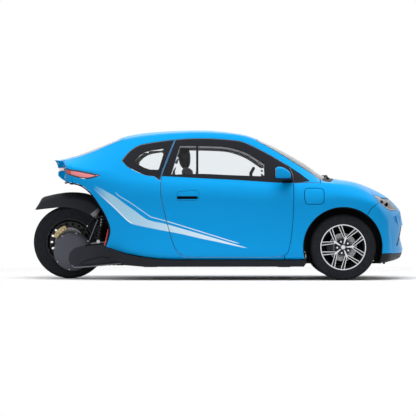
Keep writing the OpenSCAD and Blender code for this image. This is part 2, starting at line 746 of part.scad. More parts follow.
module knuckle() {
    kingpin = half_track - kingpin_y;
    rotate([90, 0, 0]) {
        translate([0, 0, -56]) cylinder(r = 52, h = 22);
        translate([0, 0, -56]) cylinder(r = spindle_r, h = 108);
    }
    // Upright, with an eye at each end round the kingpin
    translate([-26, 44, -95.5]) cube([52, 26, 215]);
    for (z = [-95.5, 93.5]) {
        translate([0, kingpin, z]) cylinder(r = 24, h = 26);
        translate([-24, 50, z]) cube([48, kingpin - 50, 26]);
    }
    // Brake caliper behind the axle
    rotate([90, 0, 0]) difference() {
        intersection() {
            translate([0, 0, -50]) cylinder(r = 150, h = 62);
            translate([-200, -50, -60]) cube([200, 100, 100]);
        }
        translate([0, 0, -31]) cylinder(r = 138, h = 30);
        translate([0, 0, -60]) cylinder(r = 92, h = 100);
    }
    translate([-110, 38, -24]) cube([80, 12, 48]);
}
module at_front(side) {
    translate([front_axle_x, side * half_track, front_tyre_r])
        mirror([0, side > 0 ? 1 : 0, 0]) children();
}
module knuckle_right() { color(cast_grey) at_front(-1) knuckle(); }
module knuckle_left() { color(cast_grey) at_front(1) knuckle(); }
module brake_disc_right() { color(steel_grey) at_front(-1) front_disc(); }
module brake_disc_left() { color(steel_grey) at_front(1) front_disc(); }
module front_rim_right() { color(steel_grey) at_front(-1) front_rim(); }
module front_rim_left() { color(steel_grey) at_front(1) front_rim(); }
module front_tyre_right() {
    color(trim_black) at_front(-1) tyre(front_tyre_r, front_tyre_w, 204);
}
module front_tyre_left() {
    color(trim_black) at_front(1) tyre(front_tyre_r, front_tyre_w, 204);
}
module at_rear() { translate([rear_axle_x, 0, rear_tyre_r]) children(); }
module rear_tyre() { color(trim_black) at_rear() tyre(rear_tyre_r, rear_tyre_w, 216); }
module rear_rim() {
    color(cast_grey) at_rear() {
        rim_barrel(215, rear_tyre_w);
        rotate([90, 0, 0]) difference() {
            union() {
                translate([0, 0, 20]) linear_extrude(24) spoke_plan(215);
                translate([0, 0, -100]) cylinder(r = 45, h = 160);
            }
            translate([0, 0, -110]) cylinder(r = 20, h = 240);
        }
    }
}
module rear_disc() {
    color(steel_grey) at_rear() rotate([90, 0, 0]) difference() {
        translate([0, 0, 66]) cylinder(r = 140, h = 8);
        translate([0, 0, 60]) cylinder(r = 46, h = 20);
    }
}

floor_pan();
battery_pack();
body_side_left();
body_side_right();
roof_panel();
front_fender_left();
front_fender_right();
front_bumper();
chin_spoiler();
headlights();
cowl_panel();
windscreen();
quarter_trims();
quarter_windows();
rear_panel();
rear_lights();
rear_bulkhead();
sill_trims();
wheel_liners();
seats();
dashboard();
front_subframe();
drive_motor();
swingarm();
drive_cover();
rear_damper();
rear_mudguard();
rear_caliper();
door_left();
door_right();
door_glass_left();
door_glass_right();
mirror_left();
mirror_right();
hood();
hatch();
rear_glass();
charge_flap();
steering_wheel();
knuckle_left();
knuckle_right();
brake_disc_left();
brake_disc_right();
front_rim_left();
front_rim_right();
front_tyre_left();
front_tyre_right();
rear_disc();
rear_rim();
rear_tyre();
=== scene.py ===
"""Looks of the three-wheeled coupe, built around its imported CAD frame.

Pieces are in metres, and tables of sizes in millimetres. X points ahead, Y to the left.
"""
import math

import bmesh
import bpy
import numpy as np
from mathutils import Matrix, Vector
from mathutils.geometry import delaunay_2d_cdt


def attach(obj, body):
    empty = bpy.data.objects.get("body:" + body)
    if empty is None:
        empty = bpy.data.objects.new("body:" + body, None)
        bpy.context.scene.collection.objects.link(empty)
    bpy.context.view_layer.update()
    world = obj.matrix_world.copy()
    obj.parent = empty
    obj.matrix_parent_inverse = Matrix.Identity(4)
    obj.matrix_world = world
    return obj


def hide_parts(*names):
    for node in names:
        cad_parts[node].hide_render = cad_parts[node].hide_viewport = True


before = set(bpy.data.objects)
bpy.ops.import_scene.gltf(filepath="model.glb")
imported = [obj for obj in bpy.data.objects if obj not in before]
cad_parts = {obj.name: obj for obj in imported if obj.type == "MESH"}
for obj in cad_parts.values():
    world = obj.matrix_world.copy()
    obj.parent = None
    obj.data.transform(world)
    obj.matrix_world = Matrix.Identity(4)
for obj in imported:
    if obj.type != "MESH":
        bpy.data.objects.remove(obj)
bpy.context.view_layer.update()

MM = 0.001

# --------------------------------------------------------------------------
# Body surface: the same bowed sections as the construction, in millimetres.
# Columns: x on the centre line, sweep of the widest point behind it,
# half-widths at the crease, belt and rail, and heights of the bottom, the
# crease, the belt, the rail and the crown.
SECTIONS = np.array([
    [-1577, -130, 560, 545, 450, 930, 1005, 1082, 1118, 1139],
    [-1535, -95, 588, 572, 468, 880, 1000, 1082, 1124, 1139],
    [-1440, -40, 620, 600, 470, 700, 975, 1072, 1135, 1160],
    [-1330, -10, 645, 622, 462, 420, 935, 1055, 1158, 1197],
    [-1190, 0, 682, 650, 462, 190, 890, 1036, 1206, 1250],
    [-1040, 0, 730, 690, 472, 190, 852, 1016, 1272, 1310],
    [-890, 0, 772, 722, 495, 190, 836, 998, 1328, 1366],
    [-680, 0, 802, 744, 530, 190, 831, 984, 1364, 1402],
    [-400, 0, 816, 755, 556, 190, 823, 970, 1388, 1420],
    [-100, 0, 823, 761, 566, 190, 812, 954, 1393, 1423],
    [180, 0, 826, 764, 566, 190, 798, 940, 1370, 1394],
    [360, 0, 827, 764, 564, 190, 787, 928, 1318, 1347],
    [600, 0, 828, 763, 578, 190, 773, 914, 1182, 1239],
    [840, 0, 830, 757, 612, 190, 766, 916, 1030, 1102],
    [990, 0, 831, 746, 640, 190, 780, 915, 934, 996],
    [1130, 0, 830, 735, 640, 190, 792, 902, 923, 958],
    [1300, 0, 824, 715, 605, 185, 772, 872, 901, 929],
    [1450, -10, 800, 682, 545, 170, 722, 800, 824, 876],
    [1600, 60, 748, 622, 470, 165, 640, 716, 752, 800],
    [1700, 110, 700, 572, 430, 180, 565, 640, 678, 716],
    [1762, 148, 655, 540, 410, 215, 500, 560, 592, 632],
    [1781, 158, 618, 512, 396, 290, 440, 478, 500, 518]], float)
LAST = len(SECTIONS) - 1
CROWN, RAIL, BELT, CREASE, SILL, FLOOR = 0, 4, 7, 9, 15, 19   # named lines round a section
FLAT = np.array([0, .35, .66, .88])        # shares of the half-width across roof and floor
# How far the tail stands in under the spoiler's lip, against height
TAIL_Z, TAIL_IN = [1026, 1089, 1113, 1139], [34, 29, 19, 0]


def spline(points, f, i):
    """Smooth curve through the rows of points, at row i plus f."""
    p = [points[np.clip(i + k, 0, len(points) - 1)] for k in (-1, 0, 1, 2)]
    f = f[:, None]
    return p[1] + f / 2 * (p[2] - p[0] + f * (2 * p[0] - 5 * p[1] + 4 * p[2] - p[3]
                                              + f * (3 * (p[1] - p[2]) + p[3] - p[0])))


def section_points(s):
    """Right halves of sections, crown first, as arrays of (y, z) from rows s."""
    crease, belt, rail, low, zc, zb, zr, crown = s[:, 2:10].T
    sill, tall = crease - 30, zc - low
    pts = [(rail * f, zr + (crown - zr) * (1 - f ** 2.4)) for f in (*FLAT, 1)]
    pts += [(rail + (belt - rail) * f + 12 * math.sin(math.pi * f), zr + (zb - zr) * f)
            for f in (.3, .65, 1)]
    pts += [(crease + (belt - crease) * .5 + 10, zc + (zb - zc) * .55), (crease, zc)]
    pts += [(crease - d, low + f * tall) for d, f in ((7, .8), (16, .55), (24, .3), (30, .08),
                                                      (40, .02), (66, 0))]
    pts += [(f * (sill - 40), low) for f in FLAT[::-1]]
    return np.array(pts).transpose(2, 0, 1)


def skin(u, w):
    """Points of the body surface: row u of the table, line w round it (w > 0 is the left side)."""
    u, w = np.atleast_1d(np.asarray(u, float)), np.atleast_1d(np.asarray(w, float))
    u, w = np.broadcast_arrays(u, w)
    i = np.clip(np.floor(u).astype(int), 0, LAST - 1)
    rows = spline(SECTIONS, u - i, i)
    ring = section_points(rows)
    ring = np.concatenate([ring[:, 1:2] * (-1, 1), ring], axis=1)       # one point past the crown
    k = np.clip(np.floor(np.abs(w)).astype(int), 0, FLOOR - 1)
    f = np.clip(np.abs(w) - k, 0, 1)[:, None]
    n = np.arange(len(u))

    def at(j):
        return ring[n, np.clip(j + 1, 0, FLOOR + 1)]

    a, b, c, d = at(k - 1), at(k), at(k + 1), at(k + 2)
    hab, hbc, hcd = (np.linalg.norm(q - p, axis=1)[:, None] + 1e-6
                     for p, q in ((a, b), (b, c), (c, d)))
    chord = (c - b) / hbc
    # Tangents: smooth across a line, apart from the rail and the belt beside the windows
    open_sides = np.clip((1120 - rows[:, 0]) / 160, 0, 1)[:, None]
    ends = []
    for j, before, hb, after, ha in ((k, (b - a) / hab, hab, chord, hbc),
                                     (k + 1, chord, hbc, (d - c) / hcd, hcd)):
        both = (before * ha + after * hb) / (ha + hb)
        hard = open_sides * ((j == RAIL) | (j == BELT))[:, None]
        ends.append(both * (1 - hard) + chord * hard)
    ends[1] = np.where((k + 1 > FLOOR - 1)[:, None], chord, ends[1])
    f2, f3 = f * f, f ** 3
    yz = ((2 * f3 - 3 * f2 + 1) * b + (f3 - 2 * f2 + f) * hbc * ends[0]
          + (3 * f2 - 2 * f3) * c + (f3 - f2) * hbc * ends[1])
    x = rows[:, 0] - rows[:, 1] * (yz[:, 0] / rows[:, 2]) ** 2
    x += np.interp(yz[:, 1], TAIL_Z, TAIL_IN) * np.clip(1 - u, 0, 1)
    return np.column_stack([x, yz[:, 0] * np.sign(w + 1e-12), yz[:, 1]]) * MM


# --------------------------------------------------------------------------
# Flat charts of the surface, in which panels are outlined and triangulated
_rows = np.linspace(0, LAST, 421)
_chart_x = skin(_rows, 0 * _rows)[:, 0]
_lines = np.linspace(0, FLOOR, 381)
_girth = skin(np.full(381, 9.0), _lines)
_chart_s = np.concatenate([[0], np.cumsum(np.linalg.norm(np.diff(_girth, axis=0), axis=1))])


def to_chart(u, w):
    return np.column_stack([np.interp(u, _rows, _chart_x),
                            np.sign(w) * np.interp(np.abs(w), _lines, _chart_s)])


def from_chart(p):
    return (np.interp(p[:, 0], _chart_x, _rows),
            np.sign(p[:, 1]) * np.interp(np.abs(p[:, 1]), _chart_s, _lines))


_grid_rows, _grid_lines = (a.ravel() for a in np.meshgrid(np.linspace(0, LAST, 211),
                                                          np.linspace(0, FLOOR, 153)))
_grid = skin(_grid_rows, -_grid_lines)


def locate(points, axes, lines=(0, FLOOR)):
    """Chart places of points seen from the side (axes 0, 2) or from above (axes 0, 1)."""
    target = np.array(points, float)
    sign = -1.0
    if axes[1] == 1:
        sign = np.where(target[:, 1] > 0, 1.0, -1.0)
        target = np.column_stack([target[:, 0], -np.abs(target[:, 1])])
    near = (_grid_lines >= lines[0]) & (_grid_lines <= lines[1])
    gu, gw, grid = _grid_rows[near], _grid_lines[near], _grid[near][:, axes]
    best = [np.argmin(((grid - t) ** 2).sum(1)) for t in target]
    u, w = gu[best].copy(), gw[best].copy()
    d = 1e-3                                 # small step, in rows and lines
    for _ in range(8):
        p = skin(u, -w)[:, axes]
        du = (skin(u + d, -w)[:, axes] - p) / d
        dw = (skin(u, -w - d)[:, axes] - p) / d
        det = du[:, 0] * dw[:, 1] - du[:, 1] * dw[:, 0]
        det = np.where(np.abs(det) < 1e-7, 1e-7, det)
        r = target - p
        u = np.clip(u + np.clip((r[:, 0] * dw[:, 1] - r[:, 1] * dw[:, 0]) / det, -.5, .5), 0, LAST)
        w = np.clip(w + np.clip((du[:, 0] * r[:, 1] - du[:, 1] * r[:, 0]) / det, -.5, .5), *lines)
    return to_chart(u, w * sign)


def smooth(points, n=6):
    """Smooth open curve through points in millimetres, as metres."""
    points = np.array(points, float) * MM
    i = np.repeat(np.arange(len(points) - 1), n)
    f = np.tile(np.arange(n) / n, len(points) - 1)
    return np.vstack([spline(points, f, i), points[-1:]])


def evenly(line, step):
    """The same line with its points about step apart, corners kept."""
    out = []
    for a, b in zip(line[:-1], line[1:]):
        n = max(1, int(round(np.linalg.norm(b - a) / step)))
        out += [a + (b - a) * k / n for k in range(n)]
    return np.array(out + [line[-1]])


def closed(*lines):
    line = np.vstack(lines)
    return np.vstack([line, line[:1]])


def inside(loop, p):
    """Which points p lie in a closed loop (even-odd rule)."""
    a, b = loop[:-1], loop[1:]
    hit = np.zeros(len(p), bool)
    for (x0, y0), (x1, y1) in zip(a, b):
        if y0 == y1:
            continue
        span = (p[:, 1] >= min(y0, y1)) & (p[:, 1] < max(y0, y1))
        hit ^= span & (p[:, 0] < x0 + (p[:, 1] - y0) * (x1 - x0) / (y1 - y0))
    return hit


LINE_STEP, LINE_ROOM = 0.5, 0.55     # spacing on outlines, and room kept round them, in steps


class Patch:
    """A stretch of surface, triangulated between outlines and cut down to what keep() accepts."""

    def __init__(self, lines, keep, box, step=0.024, place=None, face=None):
        self.face = face
        place = place or (lambda p: skin(*from_chart(p)))
        lines = [evenly(line, step * LINE_STEP) for line in lines]
        points, edges = [], []
        for line in lines:
            first = len(points)
            points += list(line)
            edges += [(first + i, first + i + 1) for i in range(len(line) - 1)]
        fixed = np.array(points)
        gx, gs = np.meshgrid(np.arange(box[0], box[1], step), np.arange(box[2], box[3], step))
        gx[::2] += step / 2
        grid = np.column_stack([gx.ravel(), gs.ravel()])
        far = np.ones(len(grid), bool)
        for q in fixed:
            far &= ((grid - q) ** 2).sum(1) > (step * LINE_ROOM) ** 2
        cloud = np.vstack([fixed, grid[far]])
        flat, _, tris, *_ = delaunay_2d_cdt([Vector(p) for p in cloud], edges, [], 0, 1e-6)
        flat = np.array([tuple(p) for p in flat])
        tris = np.array([t for t in tris if len(t) == 3])
        mid = flat[tris].mean(1)
        tris = tris[keep(mid, place(mid))]
        used, new = np.unique(tris, return_inverse=True)
        self.flat = flat[used]
        self.tris = new.reshape(tris.shape)
        self.points = place(self.flat)


SNAP = 4.6 * MM                      # a point this close to a seam's point is moved onto it
SAME = 0.05 * MM                     # points this close are one point
CALM_REACH = 2.5 * SNAP              # how far from a seam directions are averaged
FINISH_INSET = 4 * MM                # how far inside its border a wall takes its finish
ROLL_TURNS = np.radians((30, 60, 90))
CORE_HEIGHT, CORE_X = 0.3, 0.1       # height of the body's middle; weight of X in facing out


def normals(points, tris):
    """A vector along each triangle's normal, as long as twice its area."""
    a, b, c = points[tris].transpose(1, 0, 2)
    return np.cross(b - a, c - a)


def looking_out(patch):
    """A patch's triangles, wound so that they look outwards or the way of its face."""
    away = patch.points[patch.tris].mean(1) * (CORE_X, 1, 1) - (0, 0, CORE_HEIGHT) \
        if patch.face is None else np.array(patch.face)
    out = (normals(patch.points, patch.tris) * away).sum() > 0
    return patch.tris if out else patch.tris[:, ::-1]


def weld(patches, seam=()):
    """Points and triangles of several patches, joined where their points meet."""
    points = np.vstack([p.points for p in patches])
    for q in seam:
        points[((points - q) ** 2).sum(1) < SNAP ** 2] = q
    start = np.cumsum([0] + [len(p.points) for p in patches[:-1]])
    tris = np.vstack([looking_out(p) + s for p, s in zip(patches, start)])
    _, first, back = np.unique(np.round(points / SAME), axis=0, return_index=True,
                               return_inverse=True)
    tris = back.ravel()[tris]
    good = (tris[:, 0] != tris[:, 1]) & (tris[:, 1] != tris[:, 2]) & (tris[:, 0] != tris[:, 2])
    return points[first], tris[good]


def border_loops(tris):
    """Closed loops of border points, with the surface on the left of each step."""
    sides = np.vstack([tris[:, [0, 1]], tris[:, [1, 2]], tris[:, [2, 0]]])
    steps = dict.fromkeys(map(tuple, sides.tolist()))
    after = {}
    for a, b in steps:
        if (b, a) not in steps:
            after.setdefault(a, []).append(b)
    loops = []
    while after:
        start = next(iter(after))
        loop, here = [], start
        while here in after:
            loop.append(here)
            nexts = after[here]
            there = nexts.pop()
            if not nexts:
                del after[here]
            here = there
        loops.append(loop)
    return loops


def unit(v):
    return v / (np.linalg.norm(v, axis=-1, keepdims=True) + 1e-12)


def placed(name, data):
    """A new object in the scene."""
    made = bpy.data.objects.new(name, data)
    bpy.context.scene.collection.objects.link(made)
    return made


def mesh_object(name, points, faces, materials, indices=None, sharp=35):
    mesh = bpy.data.meshes.new(name)
    mesh.from_pydata(np.asarray(points).tolist(), [], [list(map(int, f)) for f in faces])
    for m in materials:
        mesh.materials.append(m)
    if indices is not None:
        mesh.polygons.foreach_set("material_index", np.asarray(indices, np.int32))
    return soften(placed(name, mesh), sharp)


def soften(piece, sharp=35):
    """Smooth shading with sharp edges where faces meet at more than this angle, in degrees."""
    bm = bmesh.new()
    bm.from_mesh(piece.data)
    for face in bm.faces:
        face.smooth = True
    for edge in bm.edges:
        edge.smooth = len(edge.link_faces) == 2 and edge.calc_face_angle() < math.radians(sharp)
    bm.to_mesh(piece.data)
    bm.free()
    return piece


def shell(name, patches, materials, depth, start=0.0, gap=0.0, roll=0.003, pick=None, seam=(),
          calm=0):
    """A panel of the body: outer face, rolled border, wall and inner face.

    depth and start are how deep its inner and outer faces lie, gap how far its border stands
    back from its outline, and pick(points) numbers the outer faces' materials. The last
    material is for the wall and the inner face. calm is how often the directions in which the
    depth is measured are averaged along the seam.
    """
    pick = pick or (lambda p: np.zeros(len(p), int))
    points, tris = weld(patches, seam)
    normal = np.zeros_like(points)
    for corner in range(3):
        np.add.at(normal, tris[:, corner], normals(points, tris))
    normal = unit(normal)
    near = np.zeros(len(points), bool)
    for q in seam:
        near |= ((points - q) ** 2).sum(1) < CALM_REACH ** 2
    for _ in range(calm):
        spread = np.zeros_like(normal)
        for corner in range(3):
            np.add.at(spread, tris[:, corner], normal[tris].sum(1))
        normal[near] = unit(spread[near])
    n = len(points)
    outer, inner = points - normal * start, points - normal * depth
    extra, walls, rolled, wall_mids = [], [], [], []
    for loop in map(np.array, border_loops(tris)):
        m, after = len(loop), np.roll(loop, -1)
        out = unit(np.cross(unit(points[after] - points[np.roll(loop, 1)]), normal[loop]))
        edge, depthwise = points[loop] - out * gap, normal[loop]
        outer[loop] = edge - out * roll - depthwise * start
        inner[loop] = edge - depthwise * depth
        first = 2 * n + len(extra)
        for a in ROLL_TURNS:
            extra += list(edge - out * roll * (1 - math.sin(a))
                          - depthwise * (start + roll * (1 - math.cos(a))))
        rings = [loop, *(first + r * m + np.arange(m) for r in range(len(ROLL_TURNS))), loop + n]
        mids = (points[loop] + points[after]) / 2 - out * FINISH_INSET
        for r, (p, q) in enumerate(zip(rings[:-1], rings[1:])):
            walls += zip(np.roll(p, -1), p, q, np.roll(q, -1))
            rolled += [r < len(ROLL_TURNS)] * m
            wall_mids += list(mids)
    last = len(materials) - 1
    index = np.concatenate([pick(points[tris].mean(1)),
                            np.where(rolled, pick(np.array(wall_mids)), last),
                            np.full(len(tris), last)])
    faces = [*tris, *walls, *(tris[:, ::-1] + n)]
    cloud = np.vstack([outer, inner, extra])
    return mesh_object(name, cloud, faces, materials, index)


# --------------------------------------------------------------------------
# Outlines of the panels, in millimetres as seen from the side (x, z)
def pts(*p):
    return np.array(p, float) * MM


def along(w, x0, x1):
    """A chart line that follows line w of the surface from x0 to x1, in metres."""
    s = np.sign(w) * np.interp(abs(w), _lines, _chart_s)
    return np.array([(x0, s), (x1, s)])


def side(line, lines=(RAIL, SILL)):
    return locate(evenly(line, 0.012), (0, 2), lines)


def plan(line, lines=(CROWN, BELT)):
    return locate(evenly(line, 0.012), (0, 1), lines)


def grown(loop, d):
    """A closed loop moved outwards by d (inwards if negative)."""
    p = loop[:-1]
    t = unit(np.roll(p, -1, 0) - np.roll(p, 1, 0))
    area = (p[:, 0] * np.roll(p[:, 1], -1) - np.roll(p[:, 0], -1) * p[:, 1]).sum()
    out = np.column_stack([t[:, 1], -t[:, 0]]) * np.sign(area)
    p = p + out * d
    return np.vstack([p, p[:1]])


def rounded(loop, r, n=5):
    """A closed loop of straight sides with its corners rounded to radius r."""
    p, out = loop[:-1], []
    for a, b, c in zip(np.roll(p, 1, 0), p, np.roll(p, -1, 0)):
        u, v = unit(a - b), unit(c - b)
        half = math.acos(np.clip(u @ v, -1, 1)) / 2
        cut = min(r / math.tan(half), np.linalg.norm(a - b) * .45, np.linalg.norm(c - b) * .45)
        for f in np.linspace(0, 1, n):
            out.append(b + u * cut * (1 - f) ** 2 + v * cut * f ** 2)
    return closed(np.array(out))


DOOR = closed(
    smooth([[-403, 1322], [-268, 1331], [-79, 1332], [110, 1319], [205, 1306], [300, 1272],
            [488, 1176], [668, 1068]]),
    smooth([[698, 1000], [703, 900], [704, 740], [694, 520], [668, 320], [628, 240], [531, 216]]),
    smooth([[-313, 216], [-378, 262], [-426, 350], [-500, 612], [-538, 800], [-536, 940],
            [-510, 1040], [-403, 1322]])[:-1])
WINDOW = closed(
    smooth([[-361, 1263], [-173, 1262], [16, 1255], [110, 1244], [204, 1217], [299, 1175],
            [431, 1088]]), pts([431, 980]),
    smooth([[412, 978], [110, 989], [-173, 1001], [-446, 992]]))
QUARTER = closed(
    smooth([[-908, 1126], [-852, 1197], [-776, 1255], [-692, 1283], [-503, 1312], [-418, 1322]]),
    pts([-526, 1040], [-553, 940]),
    smooth([[-600, 978], [-673, 986], [-739, 1010], [-800, 1040], [-852, 1066]]))
QUARTER_PANE = rounded(closed(pts(
    [-790, 1121], [-739, 1176], [-692, 1205], [-640, 1220], [-505, 1240], [-564, 1040],
    [-644, 1043], [-700, 1062], [-752, 1092])), 0.014)
TAIL_LIGHT = closed(
    smooth([[-1119, 986], [-1218, 1008], [-1313, 1027], [-1408, 1042], [-1470, 1056],
            [-1640, 1092]]),
    smooth([[-1640, 1040], [-1480, 1018], [-1408, 991], [-1313, 963], [-1237, 955],
            [-1175, 966], [-1119, 986]])[:-1])
HEADLIGHT = closed(
    smooth([[1457, 796], [1528, 793], [1603, 770], [1670, 726], [1712, 668]]),
    smooth([[1690, 652], [1622, 657], [1566, 687], [1509, 741], [1457, 796]])[:-1])
FLAP = rounded(closed(pts([818, 712], [989, 712], [989, 863], [807, 863], [807, 770])), 0.045)
BAY = closed(
    pts([-1800, 860], [-1600, 1000]),
    smooth([[-1556, 1000], [-1529, 978], [-1471, 940], [-1400, 916], [-1307, 895],
            [-1232, 843], [-1165, 768], [-1118, 697], [-1071, 621], [-1032, 530],
            [-1019, 460], [-1033, 394], [-1061, 310]]),
    pts([-1061, 100], [-1800, 100]))
SILL_CUT = smooth([[-1100, 325], [-1019, 299], [-925, 266], [-831, 241], [-643, 210],
                   [-455, 190], [-300, 186]])
SAIL = closed(pts([640, 1090], [772, 1001], [819, 963], [862, 931], [800, 921], [690, 914],
                  [640, 916]))
FENDER_FRONT = pts([1240, 150], [1395, 600], [1425, 664], [1506, 728], [1454, 798], [1454, 1000])
HANDLE = rounded(closed(pts([-397, 748], [-182, 748], [-182, 842], [-380, 830])), 0.03)
HANDLE_SLOT = rounded(closed(pts([-388, 762], [-204, 762], [-189, 774], [-204, 787], [-391, 787])),
                      0.008)
DIVIDER = (-211, -187)                     # bar across the door's window, along X
BAND_LOW = [[-1171, 864], [-1157, 838], [-1064, 754], [-970, 669], [-876, 576], [-848, 552],
            [-810, 529], [-735, 510], [-548, 472], [-360, 437], [-173, 394], [15, 355], [203, 313],
            [278, 303]]
BAND_TOP = [[-1171, 896], [-1111, 866], [-1041, 826], [-970, 786], [-876, 716], [-782, 650],
            [-660, 567], [-501, 530], [-313, 476], [-126, 422], [62, 366], [250, 310], [278, 303]]
BAND = closed(smooth(BAND_LOW, 3), smooth(BAND_TOP[::-1], 3)[1:-1])
PIN_LINE = [[-970, 833], [-923, 790], [-829, 735], [-735, 669], [-641, 604], [-623, 596],
            [-501, 563], [-360, 521], [-173, 463], [15, 405], [203, 346]]
PIN = closed(smooth(PIN_LINE, 3), smooth([[x, z - 9] for x, z in PIN_LINE[::-1]], 3)[1:-1])
EDGE_LINE = [p for p in BAND_LOW if p[0] < -800]
BAND_EDGE = closed(smooth(EDGE_LINE, 3),
                   smooth([[x + 8, z + 7] for x, z in EDGE_LINE[::-1]], 3)[1:-1])
FRONT_AXLE = np.array([1170, 310]) * MM
ARCH_R = 374 * MM
_turns = np.radians(np.arange(0, 361, 2.5))
ARCH = FRONT_AXLE + ARCH_R * np.column_stack([np.cos(_turns), np.sin(_turns)])


def bowed(x, sweep, half, n=40):
    """A line across the car, swept back towards its ends, as (x, y)."""
    y = np.linspace(-1, 1, n + 1)
    return np.column_stack([x - sweep * y ** 2, half * y]) * MM


HATCH_EDGE, HEADER, SCREEN_BASE = bowed(-893, 30, 700), bowed(390, 48, 700), bowed(1040, 75, 700)
COWL_EDGE, HOOD_NOSE, NOSE_TOP = bowed(1120, 75, 700), bowed(1651, 190, 640), bowed(1658, 190, 640)


def ahead_of(line, p):
    """Which points lie ahead (+X) of a line across the car."""
    return p[:, 0] > np.interp(p[:, 1], line[:, 1], line[:, 0])


def in_side(loop):
    return lambda p: inside(loop, p[:, [0, 2]])


def right(p):
    return p[:, 1] < 0


def twin(piece, name, change):
    """A copy of the piece, its mesh changed by a matrix."""
    mesh = piece.data.copy()
    mesh.name = name
    mesh.transform(change)
    return placed(name, mesh)


def mirrored(piece, name):
    """The same piece on the other side of the car."""
    opposite = twin(piece, name, Matrix.Scale(-1, 4, (0, 1, 0)))
    opposite.data.flip_normals()
    return opposite


def copied(piece, name, shift):
    return twin(piece, name, Matrix.Translation(Vector(shift)))


# --------------------------------------------------------------------------
# Makers of single pieces
DOUBLES = 2e-6                       # points this close are merged, in metres


def tidy(piece, sharp=30):
    """Merges doubles, turns the faces outwards and softens the shading."""
    bm = bmesh.new()
    bm.from_mesh(piece.data)
    bmesh.ops.remove_doubles(bm, verts=bm.verts, dist=DOUBLES)
    bmesh.ops.recalc_face_normals(bm, faces=bm.faces)
    bm.to_mesh(piece.data)
    bm.free()
    return soften(piece, sharp)


def loft(name, rings, materials, kinds=None, caps=True, sharp=30):
    """Closed skin through rings of equal length; kinds numbers the material of each ring side."""
    rings = [np.asarray(r, float) for r in rings]
    m = len(rings[0])
    faces, index = [], []
    for i in range(len(rings) - 1 + (not caps)):
        a, b = i * m, (i + 1) % len(rings) * m
        for j in range(m):
            faces.append((a + j, a + (j + 1) % m, b + (j + 1) % m, b + j))
            index.append(kinds[j] if kinds else 0)
    if caps:
        faces += [tuple(range(m))[::-1], tuple(len(rings) * m - m + j for j in range(m))]
        index += [0, 0]
    return tidy(mesh_object(name, np.vstack(rings), faces, materials, index), sharp)


def lathe(name, profile, centre, materials, kinds=None, n=96, sharp=30):
    """Turned piece: a closed profile of (radius, y), about the Y axis through centre (x, z)."""
    profile = np.asarray(profile, float) * MM
    turns = np.linspace(0, 2 * math.pi, n, endpoint=False)
    rings = [np.column_stack([centre[0] * MM + profile[:, 0] * math.cos(a), profile[:, 1],
                              centre[1] * MM + profile[:, 0] * math.sin(a)]) for a in turns]
    return loft(name, rings, materials, kinds, caps=False, sharp=sharp)


def bevel(piece, width, angle=30, segments=2):
    """Rounds the edges where faces meet at more than this angle."""
    bm = bmesh.new()
    bm.from_mesh(piece.data)
    edges = [e for e in bm.edges if len(e.link_faces) == 2
             and e.calc_face_angle() > math.radians(angle)]
    bmesh.ops.bevel(bm, geom=edges, offset=width * MM, segments=segments, affect="EDGES",
                    clamp_overlap=True, profile=.5)
    bm.to_mesh(piece.data)
    bm.free()
    return soften(piece)


def prism(name, outline, y0, y1, materials, edge=3.0, axes=(0, 2, 1)):
    """An outline in millimetres, run from y0 to y1 with rounded edges."""
    outline = np.asarray(outline, float)
    ends = []
    for y in (y0, y1):
        ring = np.zeros((len(outline), 3))
        ring[:, axes[0]], ring[:, axes[1]], ring[:, axes[2]] = outline[:, 0], outline[:, 1], y
        ends.append(ring * MM)
    piece = loft(name, ends, materials)
    return bevel(piece, edge) if edge else piece


def block(name, low, high, materials, edge=3.0):
    x0, _, z0 = low
    x1, _, z1 = high
    return prism(name, [(x0, z0), (x1, z0), (x1, z1), (x0, z1)], low[1], high[1], materials, edge)


def circle(r, n=12, turn=0.0):
    a = np.arange(n) / n * 2 * math.pi + turn
    return np.column_stack([np.cos(a), np.sin(a)]) * r


def tube(name, path, profile, materials, up=(0, 1, 0), sharp=40, loop=False):
    """A profile (or radius) in millimetres, swept along a path in millimetres."""
    path = np.asarray(path, float) * MM
    if np.ndim(profile) < 2:
        profile = circle(profile)
    sizes = profile if np.ndim(profile) == 3 else [profile] * len(path)
    rings = []
    for i, p in enumerate(path):
        a, b = (path[i - 1], path[(i + 1) % len(path)]) if loop else \
            (path[max(i - 1, 0)], path[min(i + 1, len(path) - 1)])
        t = unit(b - a)
        side_way = unit(np.cross(t, up))
        top_way = np.cross(side_way, t)
        q = np.asarray(sizes[i]) * MM
        rings.append(p + q[:, :1] * side_way + q[:, 1:] * top_way)
    return loft(name, rings, materials, caps=not loop, sharp=sharp)


def joined(name, *pieces):
    """Several pieces as one object."""
    with bpy.context.temp_override(active_object=pieces[0], object=pieces[0],
                                   selected_objects=pieces, selected_editable_objects=pieces):
        bpy.ops.object.join()
    pieces[0].name = pieces[0].data.name = name
    return pieces[0]


def turned(piece, degrees, centre, axis="Y"):
    """The piece's mesh, turned about an axis through centre (in metres)."""
    c = Vector(centre)
    piece.data.transform(Matrix.Translation(c) @ Matrix.Rotation(math.radians(degrees), 4, axis)
                         @ Matrix.Translation(-c))
    return piece


# --------------------------------------------------------------------------
# Repeats, made with Geometry Nodes
def shape_tree(name, **inputs):
    """A new tree that makes a shape from named inputs; also gives the inputs' sockets."""
    tree = bpy.data.node_groups.new(name, "GeometryNodeTree")
    for label, kind in inputs.items():
        tree.interface.new_socket(label, in_out="INPUT", socket_type="NodeSocket" + kind)
    tree.interface.new_socket("Geometry", in_out="OUTPUT", socket_type="NodeSocketGeometry")
    return tree, tree.nodes.new("NodeGroupInput").outputs


